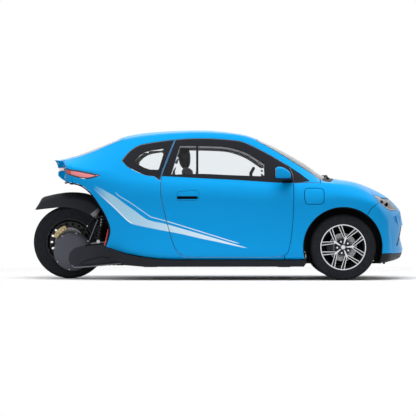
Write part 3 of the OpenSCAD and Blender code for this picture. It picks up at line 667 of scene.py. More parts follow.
def ended(tree, given, shape):
    """The tree with its last nodes: the shape is made real and gets its finish."""
    link = tree.links.new
    real, finish, result = map(tree.nodes.new, (
        "GeometryNodeRealizeInstances", "GeometryNodeSetMaterial", "NodeGroupOutput"))
    link(shape, real.inputs[0])
    link(real.outputs[0], finish.inputs["Geometry"])
    link(given["Finish"], finish.inputs["Material"])
    link(finish.outputs[0], result.inputs[0])
    return tree


def repeat_tree():
    """A row of copies of one shape, each turned and moved on from the one before."""
    tree, given = shape_tree("repeat", Shape="Object", Count="Int", Centre="Vector",
                             Step="Vector", Turn="Vector", Finish="Material")
    add, link = tree.nodes.new, tree.links.new
    points, index = add("GeometryNodePoints"), add("GeometryNodeInputIndex")
    link(given["Count"], points.inputs["Count"])

    def scaled(vector):
        node = add("ShaderNodeVectorMath")
        node.operation = "SCALE"
        link(given[vector], node.inputs[0])
        link(index.outputs[0], node.inputs["Scale"])
        return node.outputs[0]

    place = add("ShaderNodeVectorMath")
    link(scaled("Step"), place.inputs[0])
    link(given["Centre"], place.inputs[1])
    link(place.outputs[0], points.inputs["Position"])
    shape, copies = add("GeometryNodeObjectInfo"), add("GeometryNodeInstanceOnPoints")
    link(given["Shape"], shape.inputs["Object"])
    link(points.outputs[0], copies.inputs["Points"])
    link(shape.outputs["Geometry"], copies.inputs["Instance"])
    link(scaled("Turn"), copies.inputs["Rotation"])
    return ended(tree, given, copies.outputs[0])


def grown_from(tree, name, values):
    """The mesh that a tree makes of its named inputs."""
    piece = placed(name, bpy.data.meshes.new(name))
    modifier = piece.modifiers.new("maker", "NODES")
    modifier.node_group = tree
    for item in tree.interface.items_tree:
        if item.in_out == "INPUT":
            modifier[item.identifier] = values[item.name]
    return made_plain(piece)


def made_plain(piece):
    """The piece with its modifiers' result as its own mesh."""
    bpy.context.view_layer.update()
    made = bpy.data.meshes.new_from_object(piece.evaluated_get(
        bpy.context.evaluated_depsgraph_get()))
    piece.modifiers.clear()
    piece.data = made
    made.name = piece.name
    return piece


REPEAT = repeat_tree()


def repeated(name, shape, count, finish, centre=(0, 0, 0), step=(0, 0, 0), turn=(0, 0, 0),
             sharp=35):
    """Copies of a shape drawn about the origin; turn is in degrees for each step."""
    row = grown_from(REPEAT, name, {
        "Shape": shape, "Count": count, "Centre": centre, "Step": step,
        "Turn": [math.radians(t) for t in turn], "Finish": finish})
    bpy.data.objects.remove(shape)
    return soften(row, sharp)


# --------------------------------------------------------------------------
# Finishes
class Value:
    """A number on a shader socket; sums of it add their own Math nodes."""

    def __init__(self, finish, socket):
        self.finish, self.socket = finish, socket

    def maths(self, operation, *others):
        node = self.finish.node("ShaderNodeMath", {"operation": operation},
                                dict(enumerate(others or (self,))))
        return Value(self.finish, node.outputs[0])

    def wave(self, pitch):
        """Sine of the value, which repeats after each pitch."""
        return (self * (2 * math.pi / pitch)).maths("SINE")

    def __add__(self, other): return self.maths("ADD", self, other)
    def __sub__(self, other): return self.maths("SUBTRACT", self, other)
    def __rsub__(self, other): return self.maths("SUBTRACT", other, self)
    def __mul__(self, other): return self.maths("MULTIPLY", self, other)
    def __pow__(self, other): return self.maths("POWER", self, other)
    def __lt__(self, other): return self.maths("LESS_THAN", self, other)
    __radd__, __rmul__ = __add__, __mul__


class Finish:
    """One material: a Principled shader and the nodes that feed it."""

    def __init__(self, name, color, rough=0.5, **fixed):
        self.material = bpy.data.materials.new(name)
        self.material.use_nodes = True
        self.tree = self.material.node_tree
        self.tree.nodes.clear()
        self.shader = self.node("ShaderNodeBsdfPrincipled", {},
                                {"Base Color": color, "Roughness": rough,
                                 **{key.replace("_", " "): v for key, v in fixed.items()}})
        self.node("ShaderNodeOutputMaterial", {}, {"Surface": self.shader.outputs[0]})
        self._place = None

    def node(self, kind, settings, sockets):
        node = self.tree.nodes.new(kind)
        for key, value in settings.items():
            if key == "stops":
                ramp = node.color_ramp.elements
                while len(ramp) < len(value):
                    ramp.new(0.5)
                for stop, (at, shade) in zip(ramp, value):
                    stop.position, stop.color = at, (*shade, 1)
            else:
                setattr(node, key, value)
        for key, value in sockets.items():
            socket = node.inputs[key]
            if isinstance(value, Value):
                value = value.socket
            if isinstance(value, bpy.types.NodeSocket):
                self.tree.links.new(value, socket)
            elif socket.type == "RGBA" and len(value) == 3:
                socket.default_value = (*value, 1)
            else:
                socket.default_value = value
        return node

    def set(self, **sockets):
        for key, value in sockets.items():
            socket = self.shader.inputs[key.replace("_", " ")]
            if isinstance(value, Value):
                value = value.socket
            self.tree.links.new(value, socket)
        return self

    @property
    def place(self):
        if self._place is None:
            self._place = self.node("ShaderNodeTexCoord", {}, {}).outputs["Object"]
        return self._place

    def axes(self):
        """X, Y and Z of the piece's points, as values."""
        node = self.node("ShaderNodeSeparateXYZ", {}, {0: self.place})
        return [Value(self, s) for s in node.outputs]

    def noise(self, scale, detail):
        node = self.node("ShaderNodeTexNoise", {}, {"Vector": self.place, "Scale": scale,
                                                    "Detail": detail})
        return Value(self, node.outputs[0])

    def cells(self, scale):
        node = self.node("ShaderNodeTexVoronoi", {}, {"Vector": self.place, "Scale": scale})
        return Value(self, node.outputs["Distance"])

    def ramp(self, value, *stops):
        node = self.node("ShaderNodeValToRGB", {"stops": stops}, {0: value})
        return node.outputs[0]

    def step(self, value, low, high):
        """0 where value is below low, 1 above high, smooth between."""
        node = self.node("ShaderNodeMapRange", {"interpolation_type": "SMOOTHSTEP"},
                         {0: value, 1: low, 2: high, 3: 0.0, 4: 1.0})
        return Value(self, node.outputs[0])

    def mix(self, share, a, b):
        node = self.node("ShaderNodeMix", {"data_type": "RGBA"}, {0: share, 6: a, 7: b})
        return node.outputs[2]

    def bump(self, height, depth, strength=1.0):
        node = self.node("ShaderNodeBump", {}, {"Height": height, "Distance": depth,
                                                "Strength": strength})
        return self.set(Normal=node.outputs[0])


def body_paint():
    f = Finish("body_paint", (0.0, 0.30, 0.70), 0.4, Specular_IOR_Level=0.06,
               Coat_Weight=0.35, Coat_IOR=1.2, Coat_Roughness=0.04)
    flake = f.cells(2600)
    shade = f.noise(1.6, 1)
    f.set(Base_Color=f.mix(f.step(flake, .1, .6) * .25 + shade * .25, (0.002, 0.320, 0.73),
                           (0.0, 0.275, 0.66)))
    return f.bump(f.noise(260, 1), 0.00002, .25).material


def plastic(name, color, rough, grain=900, depth=0.00008, **fixed):
    f = Finish(name, color, rough, **{"Specular_IOR_Level": .14, "Coat_IOR": 1.3, **fixed})
    speck = f.noise(grain, 3)
    f.set(Roughness=speck * .16 + (rough - .08))
    return f.bump(speck, depth, .6).material


def clear_glass(name, tint):
    return Finish(name, tint, 0.0, Transmission_Weight=1.0, IOR=1.22).material


def lens(name, color, rough=0.03, lines=0.0, **fixed):
    """Moulded lamp lens, with fine upright prisms where lines gives their pitch."""
    f = Finish(name, color, rough, Coat_Weight=1.0, Coat_Roughness=0.02, **fixed)
    if lines:
        f.bump(f.axes()[0].wave(lines) * .5 + .5, 0.0012, .5)
    return f.material


def rubber():
    f = Finish("tyre_rubber", (0.010, 0.011, 0.014), 0.62, Specular_IOR_Level=0.14)
    dust = f.noise(38, 4)
    f.set(Base_Color=f.ramp(dust, (0.35, (0.007, 0.008, 0.011)), (0.75, (0.016, 0.017, 0.022))),
          Roughness=dust * .25 + .5)
    return f.bump(f.noise(700, 2), 0.0001, .5).material


def machined(name, color, rough, centre, pitch=0.0012):
    """Turned metal with fine rings round an axle through centre (x, z)."""
    f = Finish(name, color, rough, Metallic=1.0)
    x, _, z = f.axes()
    x, z = x - centre[0] * MM, z - centre[1] * MM
    ring = ((x * x + z * z) ** 0.5).wave(pitch)
    f.set(Roughness=f.noise(60, 2) * .18 + (rough - .09))
    return f.bump(ring * .5 + .5, 0.00006, .5).material


def casting(name, color, rough, metal=.55, grain=240):
    f = Finish(name, color, rough, Metallic=metal, Specular_IOR_Level=0.2)
    skin_grain = f.noise(grain, 4)
    stain = f.noise(7, 2)
    f.set(Base_Color=f.mix(stain * .6, color, tuple(c * 1.5 for c in color)),
          Roughness=skin_grain * .2 + (rough - .1))
    return f.bump(skin_grain, 0.0005, .5).material


def woven(name, light, dark, pitch):
    """Cloth: threads over and under one another."""
    f = Finish(name, light, 0.85, Sheen_Weight=0.3, Sheen_Roughness=0.5)
    x, y, z = f.axes()
    weave = y.wave(pitch) * (x + z).wave(pitch) * .5 + .5
    f.set(Base_Color=f.mix(weave * .7 + f.noise(90, 3) * .3, dark, light))
    return f.bump(weave, 0.0006, .6).material


def stripe_film(name, back, front):
    """Pale film of the side stripes, fading out of the paint at its rear end."""
    f = Finish(name, front, 0.3, Specular_IOR_Level=0.12, Coat_Weight=0.4, Coat_IOR=1.25)
    x = f.axes()[0]
    pale = f.mix(f.step(x, -.95, -.1), back, front)
    f.set(Base_Color=f.mix(f.step(x, -1.20, -1.0), (0.0, 0.31, 0.71), pale))
    return f.material


PAINT = body_paint()
# Painted shade: a darker copy of the body paint, without reflection, for the faces that close the
# tail
TAIL_SHADE_PAINT = plastic("tail_paint", (0.0, 0.25, 0.62), 0.6, Specular_IOR_Level=0.0)
BLACK = plastic("satin_black", (0.011, 0.012, 0.016), 0.45)
GLOSS = plastic("gloss_black", (0.006, 0.007, 0.009), 0.16, 300, 0.00002, Coat_Weight=0.4)
SEAL = plastic("rubber_seal", (0.008, 0.008, 0.009), 0.65)
SHEET = plastic("dark_liner", (0.010, 0.010, 0.011), 0.75, 500, 0.0002)
PANE = clear_glass("window_glass", (0.90, 0.925, 0.94))
SCREEN_PANE = clear_glass("screen_glass", (0.42, 0.44, 0.46))
CABIN_TRIM = plastic("cabin_trim", (0.56, 0.57, 0.59), 0.7, 500, 0.0002)
LENS = clear_glass("lamp_lens", (0.38, 0.40, 0.44))
RED = lens("red_lens", (0.62, 0.004, 0.008), lines=0.007)
PINK = lens("reversing_lens", (0.80, 0.20, 0.22), lines=0.007)
SMOKE = lens("smoked_lens", (0.03, 0.018, 0.02))
WHITE_BAR = lens("light_bar", (0.9, 0.92, 0.95), .2, Emission_Color=(1.0, 1.0, 1.0),
                 Emission_Strength=.35)
CHROME = Finish("lamp_reflector", (0.20, 0.21, 0.23), 0.22, Metallic=1.0).material
RUBBER = rubber()
# Near-black finish: painted shade in the nose's slits, the handles' slots and pockets, the discs'
# holes and the front wheel bays, which lie in shade; also the arm's gasket and the headlamp
# housings
SHADOW = plastic("slot_black", (0.006, 0.006, 0.007), 0.8, Specular_IOR_Level=0.1)
CAST = casting("cast_arm", (0.024, 0.026, 0.034), 0.45, .3)
COVER_SKIN = casting("cast_cover", (0.070, 0.073, 0.090), 0.45, .3)
CAST_EDGE = casting("cast_edge", (0.16, 0.16, 0.18), 0.38, .7)
GUARD_SKIN = plastic("mudguard_plastic", (0.026, 0.028, 0.035), 0.45, 700)
BRONZE = casting("bronze_caliper", (0.42, 0.33, 0.17), 0.34, .8, 400)
STEEL = casting("bare_steel", (0.42, 0.43, 0.45), 0.30, 1.0, 500)
RIM_DARK = plastic("rim_paint", (0.012, 0.0125, 0.015), 0.35, 400, Coat_Weight=0.6)
RIM_FACE = machined("machined_rim", (0.72, 0.73, 0.76), 0.26, (1170, 310))
DISC_FACE = machined("disc_face_front", (0.30, 0.30, 0.31), 0.34, (1170, 310))
REAR_DISC_FACE = machined("disc_face_rear", (0.20, 0.20, 0.21), 0.34, (-1430, 350))
SPRING = plastic("spring_lacquer", (0.010, 0.010, 0.012), 0.30, 300, Coat_Weight=0.8)
MIRROR_GLASS = Finish("mirror_glass", (0.85, 0.87, 0.90), 0.03, Metallic=1.0).material
CLOTH = woven("seat_cloth", (0.060, 0.062, 0.070), (0.016, 0.016, 0.019), 0.0035)
BOLSTER = plastic("seat_vinyl", (0.020, 0.020, 0.023), 0.55, 420, 0.0003)
CARPET = plastic("floor_carpet", (0.022, 0.022, 0.024), 0.95, 800, 0.0006)
DASH = plastic("dash_plastic", (0.035, 0.036, 0.040), 0.6, 650, 0.0003)
SCREEN = plastic("display_glass", (0.008, 0.009, 0.012), 0.12, 200, 0.00001, Coat_Weight=1.0)
BATTERY = plastic("battery_case", (0.15, 0.16, 0.17), 0.5, 300, 0.0002)
UNDER = plastic("underbody_coat", (0.016, 0.016, 0.018), 0.7, 500, 0.0005)
HEADLINER = plastic("headliner_felt", (0.42, 0.42, 0.43), 0.9, 500, 0.0004)
STRIPE = stripe_film("stripe_film", (0.36, 0.62, 0.80), (0.66, 0.80, 0.90))
STRIPE_EDGE = stripe_film("stripe_edge_film", (0.75, 0.88, 0.96), (0.80, 0.90, 0.97))


# --------------------------------------------------------------------------
# Joining pieces to bodies
def fit(piece, body, *nodes):
    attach(piece, body)
    if nodes:
        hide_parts(*nodes)
    return piece


def other(name):
    return name.replace("right", "left")


def fit_pair(piece, body, *nodes):
    """Fits a right-hand piece, and its mirror image on the left."""
    left = mirrored(piece, other(piece.name))
    fit(piece, body, *nodes)
    fit(left, other(body), *(other(n) for n in nodes))


def dress(finish, *nodes):
    """Gives construction pieces that are kept their finish."""
    for node in nodes:
        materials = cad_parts[node].data.materials
        materials.clear()
        materials.append(finish)


# --------------------------------------------------------------------------
# Body panels
X_TAIL, X_NOSE = _chart_x[0], _chart_x[-1]
S_RAIL, S_SILL, S_FLOOR = (float(np.interp(k, _lines, _chart_s)) for k in (RAIL, SILL, FLOOR))
REAR_Y = 437 * MM                          # half-width of the rear panel below the hatch
HATCH_LOW = 1064 * MM
CHIN_Z, CHIN_BACK = 249 * MM, 1440 * MM    # top of the chin, and where it ends behind
LAMP_Y = 300 * MM
NOSE_Z = [290, 301, 330, 369, 427, 465, 499, 505, 511]      # heights on the nose, and how far
NOSE_IN = [0, 6, 12, 22, 32, 32, 27, 20, 0]                 # it stands in between its slits


def column(k):
    return lambda p: np.interp(p[:, 0], SECTIONS[:, 0] * MM, SECTIONS[:, k] * MM)


belt_height = column(7)


def end_lines(x, step):
    """The border of the surface at its nose or tail, in the chart and in space."""
    across = np.linspace(-S_FLOOR, S_FLOOR, 2 * int(S_FLOOR / step) + 1)
    chart = np.column_stack([np.full(len(across), x), across])
    return chart, skin(*from_chart(chart))


TAIL_LINE, TAIL_SEAM = end_lines(X_TAIL, .006)
NOSE_LINE, NOSE_SEAM = end_lines(X_NOSE, .012)


SLIT_TOP, SLIT_SLANT = (.251, .500), 1.01  # place (y, z) of a slit's upper end, and its slope
SLIT_SOFT = .008                           # width over which a slit's wall slopes


def slit_y(z):
    """Half-width of the stretch between the nose's slits, at a height."""
    return SLIT_TOP[0] + (SLIT_TOP[1] - z) * SLIT_SLANT


def end_x(section, y):
    """Where the first or last section lies along X, at y."""
    x, sweep, half = SECTIONS[section, :3] * MM
    return x - sweep * (y / half) ** 2


def tail_place(p):
    return np.column_stack([end_x(0, p[:, 0]) + np.interp(p[:, 1] / MM, TAIL_Z, TAIL_IN) * MM, p])


# The faces found here take the darker tail paint, which is painted shade
def on_tail(p):
    """Which points lie on the face that closes the tail."""
    return np.abs(p[:, 0] - tail_place(p[:, 1:])[:, 0]) < .002


def nose_place(p):
    share = np.clip((slit_y(p[:, 1]) - np.abs(p[:, 0])) / SLIT_SOFT + .5, 0, 1)
    return np.column_stack([end_x(-1, p[:, 0])
                            - share * np.interp(p[:, 1] / MM, NOSE_Z, NOSE_IN) * MM, p])


def end_patch(seam, place, lines, keep):
    """A stretch of the face that closes the nose or the tail; lines are in (y, z)."""
    ring = closed(seam[:-1, 1:])
    low, high = ring.min(0), ring.max(0)
    return Patch([ring] + lines, lambda c, p: inside(ring, c) & keep(p),
                 (low[0], high[0], low[1], high[1]), place=place,
                 face=(-1 if place is tail_place else 1, 0, 0))


def panel(name, lines, keep, box, materials, depth, step=0.024, **more):
    """A shell from one stretch of the body surface."""
    return shell(name, [Patch(lines, keep, box, step)], materials, depth, **more)


RIGHT = (-1.9, -0.35)                      # stretch of the chart that holds the right side


def side_panel(name, outline, holes, x0, x1, materials, depth, **more):
    """A panel of the right side within one outline, less its holes."""
    return panel(name, [side(outline), *map(side, holes)],
                 lambda c, p: right(p) & in_side(outline)(p)
                 & ~sum((in_side(hole)(p) for hole in holes), np.zeros(len(p), bool)),
                 (x0, x1, *RIGHT), materials, depth, **more)


SKIN = [PAINT, BLACK, STRIPE, STRIPE_EDGE, CABIN_TRIM]


def striped(p):
    """Number of the outer finish of a side panel: paint, black or stripe."""
    film = in_side(BAND)(p) | in_side(PIN)(p)
    return np.where(in_side(BAND_EDGE)(p), 3, np.where(film, 2, 0))


def strip_lines():
    return [side(BAND), side(BAND_EDGE), side(PIN)]


def door_pick(p):
    return np.where(p[:, 2] > belt_height(p), 1, striped(p))


BAR = [side(pts([x, 985], [x, 1275])) for x in DIVIDER]


def in_bar(p):
    return (p[:, 0] > DIVIDER[0] * MM) & (p[:, 0] < DIVIDER[1] * MM)


fit_pair(panel("door_skin_right",
               [side(DOOR), side(WINDOW), along(-BELT, -.56, .72), side(HANDLE), *BAR,
                *strip_lines()],
               lambda c, p: right(p) & in_side(DOOR)(p) & ~(in_side(WINDOW)(p) & ~in_bar(p))
               & ~in_side(HANDLE)(p),
               (-.6, .75, *RIGHT), SKIN, .040, gap=.001, pick=door_pick),
         "right_door", "door_right")

SIDE_END = (620 * MM, 960 * MM)            # where the side ends, below and above the belt
LAMP_Z = (1031 * MM, 1076 * MM)            # heights of the rear lamp across the tail
SILL_CUT_END = -310 * MM                   # ahead of this the sill has no raised edge
TAIL_X = -1440 * MM                        # behind this the rear panel stands between the sides


def side_keep(c, p):
    x, z = p[:, 0], p[:, 2]
    sill = np.interp(x, SILL_CUT[:, 0], SILL_CUT[:, 1])
    return (right(p) & ~in_side(DOOR)(p) & ~in_side(QUARTER)(p) & ~in_side(TAIL_LIGHT)(p)
            & ~in_side(BAY)(p) & ~((x > SIDE_END[0]) & (z < belt_height(p))) & (x < SIDE_END[1])
            & ~((x < SILL_CUT_END) & (z < sill)) & (c[:, 1] < -S_RAIL) & (c[:, 1] > -S_SILL)
            & ~((x < TAIL_X) & (p[:, 1] > -REAR_Y)))


def in_lamp_band(p):
    return (p[:, 2] > LAMP_Z[0]) & (p[:, 2] < LAMP_Z[1])


_bay = BAY[(BAY[:, 0] < -1.2) & (BAY[:, 1] > .8)]
_y = np.linspace(-.62, .62, 81)
END_CUTS = [np.array([(y, .90), (y, 1.14)]) for y in (-REAR_Y, REAR_Y)] \
    + [np.array([(-.62, z), (.62, z)]) for z in (*LAMP_Z, HATCH_LOW)] \
    + [np.column_stack([_y, np.interp(tail_place(np.column_stack([_y, 0 * _y + 1]))[:, 0],
                                      *_bay[np.argsort(_bay[:, 0])].T)])]
FRONT_CUTS = [along(-RAIL, .9, 1.6), along(-BELT, .6, .98), side(pts([620, 150], [620, 930])),
              side(pts([960, 800], [960, 1000]))]

fit_pair(shell("body_skin_right", [
    Patch([side(DOOR), side(QUARTER), side(TAIL_LIGHT), side(BAY), side(SILL_CUT), side(SAIL),
           along(-RAIL, X_TAIL, .98), along(-SILL, -1.2, .7), TAIL_LINE,
           plan(pts([-1440, -437], [-1600, -437]), (0, SILL)), *FRONT_CUTS[1:], *strip_lines()],
          side_keep, (X_TAIL, 1.0, *RIGHT)),
    end_patch(TAIL_SEAM, tail_place, END_CUTS,
              lambda p: (p[:, 1] < -REAR_Y) & ~in_lamp_band(p) & ~in_side(BAY)(p))],
    [*SKIN[:4], TAIL_SHADE_PAINT, CABIN_TRIM], .026, gap=.004,
    pick=lambda p: np.where(in_side(SAIL)(p), 1, np.where(on_tail(p), 4, striped(p))),
    seam=TAIL_SEAM, calm=3), "car", "body_side_right")

FENDER_BACK = closed(FENDER_FRONT, pts([600, 1000], [600, 150]))


def fender(name, opening):
    """A right fender skin, with or without the opening for the charging flap."""
    return panel(name, [side(DOOR), side(ARCH), side(FLAP), along(-SILL, .6, 1.6),
                        side(FENDER_FRONT), *FRONT_CUTS],
                 lambda c, p: right(p) & in_side(FENDER_BACK)(p) & ~in_side(DOOR)(p)
                 & ~in_side(ARCH)(p) & ~((p[:, 0] < SIDE_END[1]) & (p[:, 2] > belt_height(p)))
                 & (p[:, 0] > SIDE_END[0]) & ~(in_side(FLAP)(p) & opening)
                 & (c[:, 1] < -S_RAIL) & (c[:, 1] > -S_SILL),
                 (.55, 1.6, *RIGHT), [PAINT, SHEET], .004, gap=.003)


fit(fender("fender_skin_right", True), "car", "front_fender_right")
plain_fender = fender("fender_pattern", False)
fit(mirrored(plain_fender, "fender_skin_left"), "car", "front_fender_left")
bpy.data.objects.remove(plain_fender)


def flap_area(name, depth, start, gap, finish):
    return panel(name, [side(FLAP)], lambda c, p: right(p) & in_side(FLAP)(p),
                 (.7, 1.1, -1.5, -.5), [finish, BLACK], depth, start=start, gap=gap)


fit(flap_area("charge_flap_skin", .004, 0, .002, PAINT), "flap", "charge_flap")
fit(flap_area("charge_pocket", .050, .046, -.010, SHEET), "car")

RAILS = [along(-RAIL, X_TAIL, 1.75), along(RAIL, X_TAIL, 1.75)]


def between(c, p, back=None, ahead=None):
    """Above both rails, ahead of one line across the car and behind another."""
    ok = np.abs(c[:, 1]) < S_RAIL
    if back is not None:
        ok &= ahead_of(back, p)
    return ok & ~ahead_of(ahead, p) if ahead is not None else ok


TOP = (X_TAIL, 1.75, -.75, .75)
fit(panel("roof_skin", [plan(HATCH_EDGE), plan(HEADER), *RAILS],
          lambda c, p: between(c, p, HATCH_EDGE, HEADER), TOP, [PAINT, HEADLINER], .024, gap=.002),
    "car", "roof_panel")
fit(panel("hood_skin", [plan(COWL_EDGE), plan(HOOD_NOSE), *RAILS],
          lambda c, p: between(c, p, COWL_EDGE, HOOD_NOSE), TOP, [PAINT, BLACK], .018, gap=.003),
    "hood_lid", "hood")
REAR_CORNERS = closed(pts([-1392, -364], [-940, -412], [-940, 412], [-1392, 364]))
REAR_GLASS = rounded(REAR_CORNERS, .04)


def in_plan(loop):
    return lambda p: inside(loop, p[:, :2])


fit(shell("hatch_skin", [
    Patch([plan(HATCH_EDGE), plan(REAR_GLASS), TAIL_LINE, *RAILS],
          lambda c, p: between(c, p, None, HATCH_EDGE) & ~in_plan(REAR_GLASS)(p), TOP),
    end_patch(TAIL_SEAM, tail_place, END_CUTS,
              lambda p: (np.abs(p[:, 1]) < REAR_Y) & (p[:, 2] > HATCH_LOW))],
    [PAINT, TAIL_SHADE_PAINT, BLACK], .024, gap=.002, pick=lambda p: on_tail(p).astype(int),
    seam=TAIL_SEAM, calm=3), "hatch_lid", "hatch")
fit(shell("rear_panel_skin", [
    end_patch(TAIL_SEAM, tail_place, END_CUTS,
              lambda p: (np.abs(p[:, 1]) < REAR_Y) & (p[:, 2] < LAMP_Z[0]) & ~in_side(BAY)(p))],
    [TAIL_SHADE_PAINT, BLACK], .014, gap=.002), "car", "rear_panel")


# Front bumper, cut level above the chin
def level_line(z, first):
    """Where the surface crosses a height, from row first forward to the middle of the nose."""
    w, out = np.linspace(CREASE, FLOOR, 61), []
    for u in np.arange(first, LAST, .04):
        heights = skin(np.full(61, u), -w)[:, 2]
        if heights.min() > z - .0005:
            out.append((u, FLOOR))
            break
        out.append((u, np.interp(-z, -heights, w)))
    u, w = np.array(out).T
    return to_chart(u, -w)


CHIN_LINE = level_line(CHIN_Z, 16.2)


def under_hood(c, p):
    return (np.abs(c[:, 1]) < S_RAIL) & ~ahead_of(NOSE_TOP, p)


def beside_arch(p):
    return ~inside(ARCH, p[:, [0, 2]]) & (p[:, 0] > FRONT_AXLE[0])


def bumper_keep(c, p):
    lamp = in_side(HEADLIGHT)(p) & (np.abs(p[:, 1]) > LAMP_Y)
    return (~in_side(FENDER_BACK)(p) & ~under_hood(c, p) & beside_arch(p) & ~lamp
            & (p[:, 2] > CHIN_Z))


def on_both(*lines):
    return [line * (1, k) for line in lines for k in (1, -1)]


SLIT_SHADE_W = 42 * MM                           # width of the painted shade beside each slit
SHADE_LOW, SHADE_BACK = 320 * MM, 1500 * MM  # where that painted shade ends, below and behind
slit_z = np.array([.505, .300])
SLIT_LINES = [np.column_stack([k * (slit_y(slit_z) + d), slit_z]) for k in (1, -1)
              for d in (-SLIT_SOFT / 2, SLIT_SOFT / 2, SLIT_SHADE_W)] \
    + [np.array([(-.45, z * MM), (.45, z * MM)]) for z in NOSE_Z[1:]]


# Painted shade: near-black finish on a strip beside each slit, where the step in the nose lies in
# shade
def nose_pick(p):
    x, z, d = p[:, 0], p[:, 2], np.abs(p[:, 1]) - slit_y(p[:, 2])
    return ((d > -SLIT_SOFT / 2) & (d < SLIT_SHADE_W) & (z > SHADE_LOW) & (z < slit_z[0])
            & (x > SHADE_BACK)).astype(int)


LAMP_LINE = side(HEADLIGHT, (CROWN, SILL))
NOSE_BOX = (1.3, X_NOSE, -S_FLOOR, S_FLOOR)
FLOOR_LINES = [np.array([(NOSE_BOX[0], s), (X_NOSE, s)]) for s in (-S_FLOOR, S_FLOOR)]
fit(shell("bumper_skin", [
    Patch([*on_both(side(FENDER_FRONT), side(ARCH), LAMP_LINE, CHIN_LINE), plan(NOSE_TOP), *RAILS,
           plan(pts([1500, -300], [1780, -300])), plan(pts([1500, 300], [1780, 300])), NOSE_LINE,
           *FLOOR_LINES],
          bumper_keep, NOSE_BOX),
    end_patch(NOSE_SEAM, nose_place, SLIT_LINES, lambda p: p[:, 2] > 0)],
    [PAINT, SHADOW, SHEET], .016, gap=.002, pick=nose_pick, seam=NOSE_SEAM), "car", "front_bumper")
fit(panel("chin_skin", [*on_both(side(ARCH, (CREASE, FLOOR)), CHIN_LINE), *FLOOR_LINES],
          lambda c, p: (p[:, 2] < CHIN_Z) & beside_arch(p) & (p[:, 0] > CHIN_BACK),
          NOSE_BOX, [BLACK, BLACK], .014, gap=.0015),
    "car", "chin_spoiler")


# --------------------------------------------------------------------------
# Glass, lamps and trims on the body
def black_rimmed(loop):
    """Number of a pane's finish: clear inside the loop, black round it."""
    return lambda p: np.where(inside(loop, p[:, :2]), 0, 1)


SCREEN_CLEAR = closed(bowed(424, 48, 560, 20), bowed(1000, 75, 630, 20)[::-1])
fit(panel("windscreen_glass", [plan(HEADER), plan(SCREEN_BASE), plan(SCREEN_CLEAR), *RAILS],
          lambda c, p: between(c, p, HEADER, SCREEN_BASE), TOP,
          [SCREEN_PANE, GLOSS, SCREEN_PANE], .006, start=.002, gap=.003, roll=.001,
          pick=black_rimmed(SCREEN_CLEAR)), "car", "windscreen")
REAR_CLEAR = rounded(grown(REAR_CORNERS, -.024), .03)
fit(panel("hatch_glass", [plan(REAR_GLASS), plan(REAR_CLEAR)],
          lambda c, p: in_plan(REAR_GLASS)(p) & (np.abs(c[:, 1]) < S_RAIL), TOP,
          [SCREEN_PANE, GLOSS, SCREEN_PANE], .006, start=.002, gap=.002, roll=.001,
          pick=black_rimmed(REAR_CLEAR)), "hatch_lid", "rear_glass")
fit(panel("cowl_skin", [plan(SCREEN_BASE), plan(COWL_EDGE), *RAILS],
          lambda c, p: between(c, p, SCREEN_BASE, COWL_EDGE), TOP, [BLACK, BLACK], .016,
          start=.003, gap=.002), "car", "cowl_panel")
fit_pair(panel("door_pane_right", [side(WINDOW), *BAR],
               lambda c, p: right(p) & in_side(WINDOW)(p) & ~in_bar(p), (-.6, .75, *RIGHT),
               [PANE, PANE], .010, start=.006, gap=-.004, roll=.001),
         "right_door", "door_glass_right")
fit_pair(side_panel("quarter_frame_right", QUARTER, [QUARTER_PANE], -1.0, -.3,
                    [BLACK, CABIN_TRIM], .012, start=.001, gap=.002), "car", "quarter_trims")
fit_pair(side_panel("quarter_pane_right", QUARTER_PANE, [], -1.0, -.3, [PANE, PANE], .008,
                    start=.004, gap=-.003, roll=.001), "car", "quarter_windows")


# Headlights: dark housing, two reflector bowls, a white guide along the lower edge, a clear lens
LAMP_CUT = plan(pts([1500, -300], [1780, -300]))  # the lamp's inboard end, at LAMP_Y
GUIDE = closed(
    smooth([[1463, 787], [1484, 766], [1509, 743], [1566, 691], [1622, 661], [1690, 656]]),
    smooth([[1706, 670], [1660, 674], [1628, 678], [1576, 704], [1518, 756], [1492, 780],
            [1463, 796]])[:-1])


def lamp_shell(name, finishes, depth, start, gap, line=HEADLIGHT, **more):
    return panel(name, [side(line, (CROWN, SILL)), LAMP_CUT, plan(NOSE_TOP), RAILS[0]],
                 lambda c, p: right(p) & in_side(line)(p) & (p[:, 1] < -LAMP_Y)
                 & ~under_hood(c, p), (1.4, 1.78, -1.3, -.25), finishes, depth, start=start,
                 gap=gap, step=0.012, **more)


fit_pair(lamp_shell("headlight_lens_right", [LENS, LENS], .005, .001, .0015, roll=.001), "car",
         "headlights")
fit_pair(lamp_shell("headlight_housing_right", [SHADOW, SHADOW], .062, .050, -.004), "car")
fit_pair(lamp_shell("headlight_guide_right", [WHITE_BAR, GLOSS], .016, .008, .003, GUIDE), "car")
BOWL_TURN = 128                            # which way the bowls face, in degrees
for n, (x, y, z, r) in enumerate([(1545, -615, 734, 15), (1598, -545, 712, 15)]):
    bowl = lathe("headlight_bowl_%d_right" % n, [
        (0, -24), (r * .55, -20), (r * .9, -8), (r, 6), (r + 3, 6), (r * .95, -12),
        (r * .6, -25), (0, -30)], (0, 0), [CHROME], n=32)
    lampglass = lathe("headlight_eye_%d_right" % n, [
        (0, 6), (r * .35, 4), (r * .52, -3), (r * .52, -10), (0, -12)], (0, 0), [LENS], n=24)
    for part in (bowl, lampglass):
        part.data.transform(Matrix.Translation((x * MM, y * MM, z * MM))
                            @ Matrix.Rotation(math.radians(BOWL_TURN), 4, "Z"))
        tidy(part)
        fit_pair(part, "car")


# Tail lamps: smoked rim, red and pale stretches, carried round onto the tail
LAMP_FACE = grown(TAIL_LIGHT, -.011)
LAMP_SPLITS = (-1.462, -1.392)             # ends of the red stretch, along X
LAMP_CORNER = -1.50                        # behind this the lamp has no rim


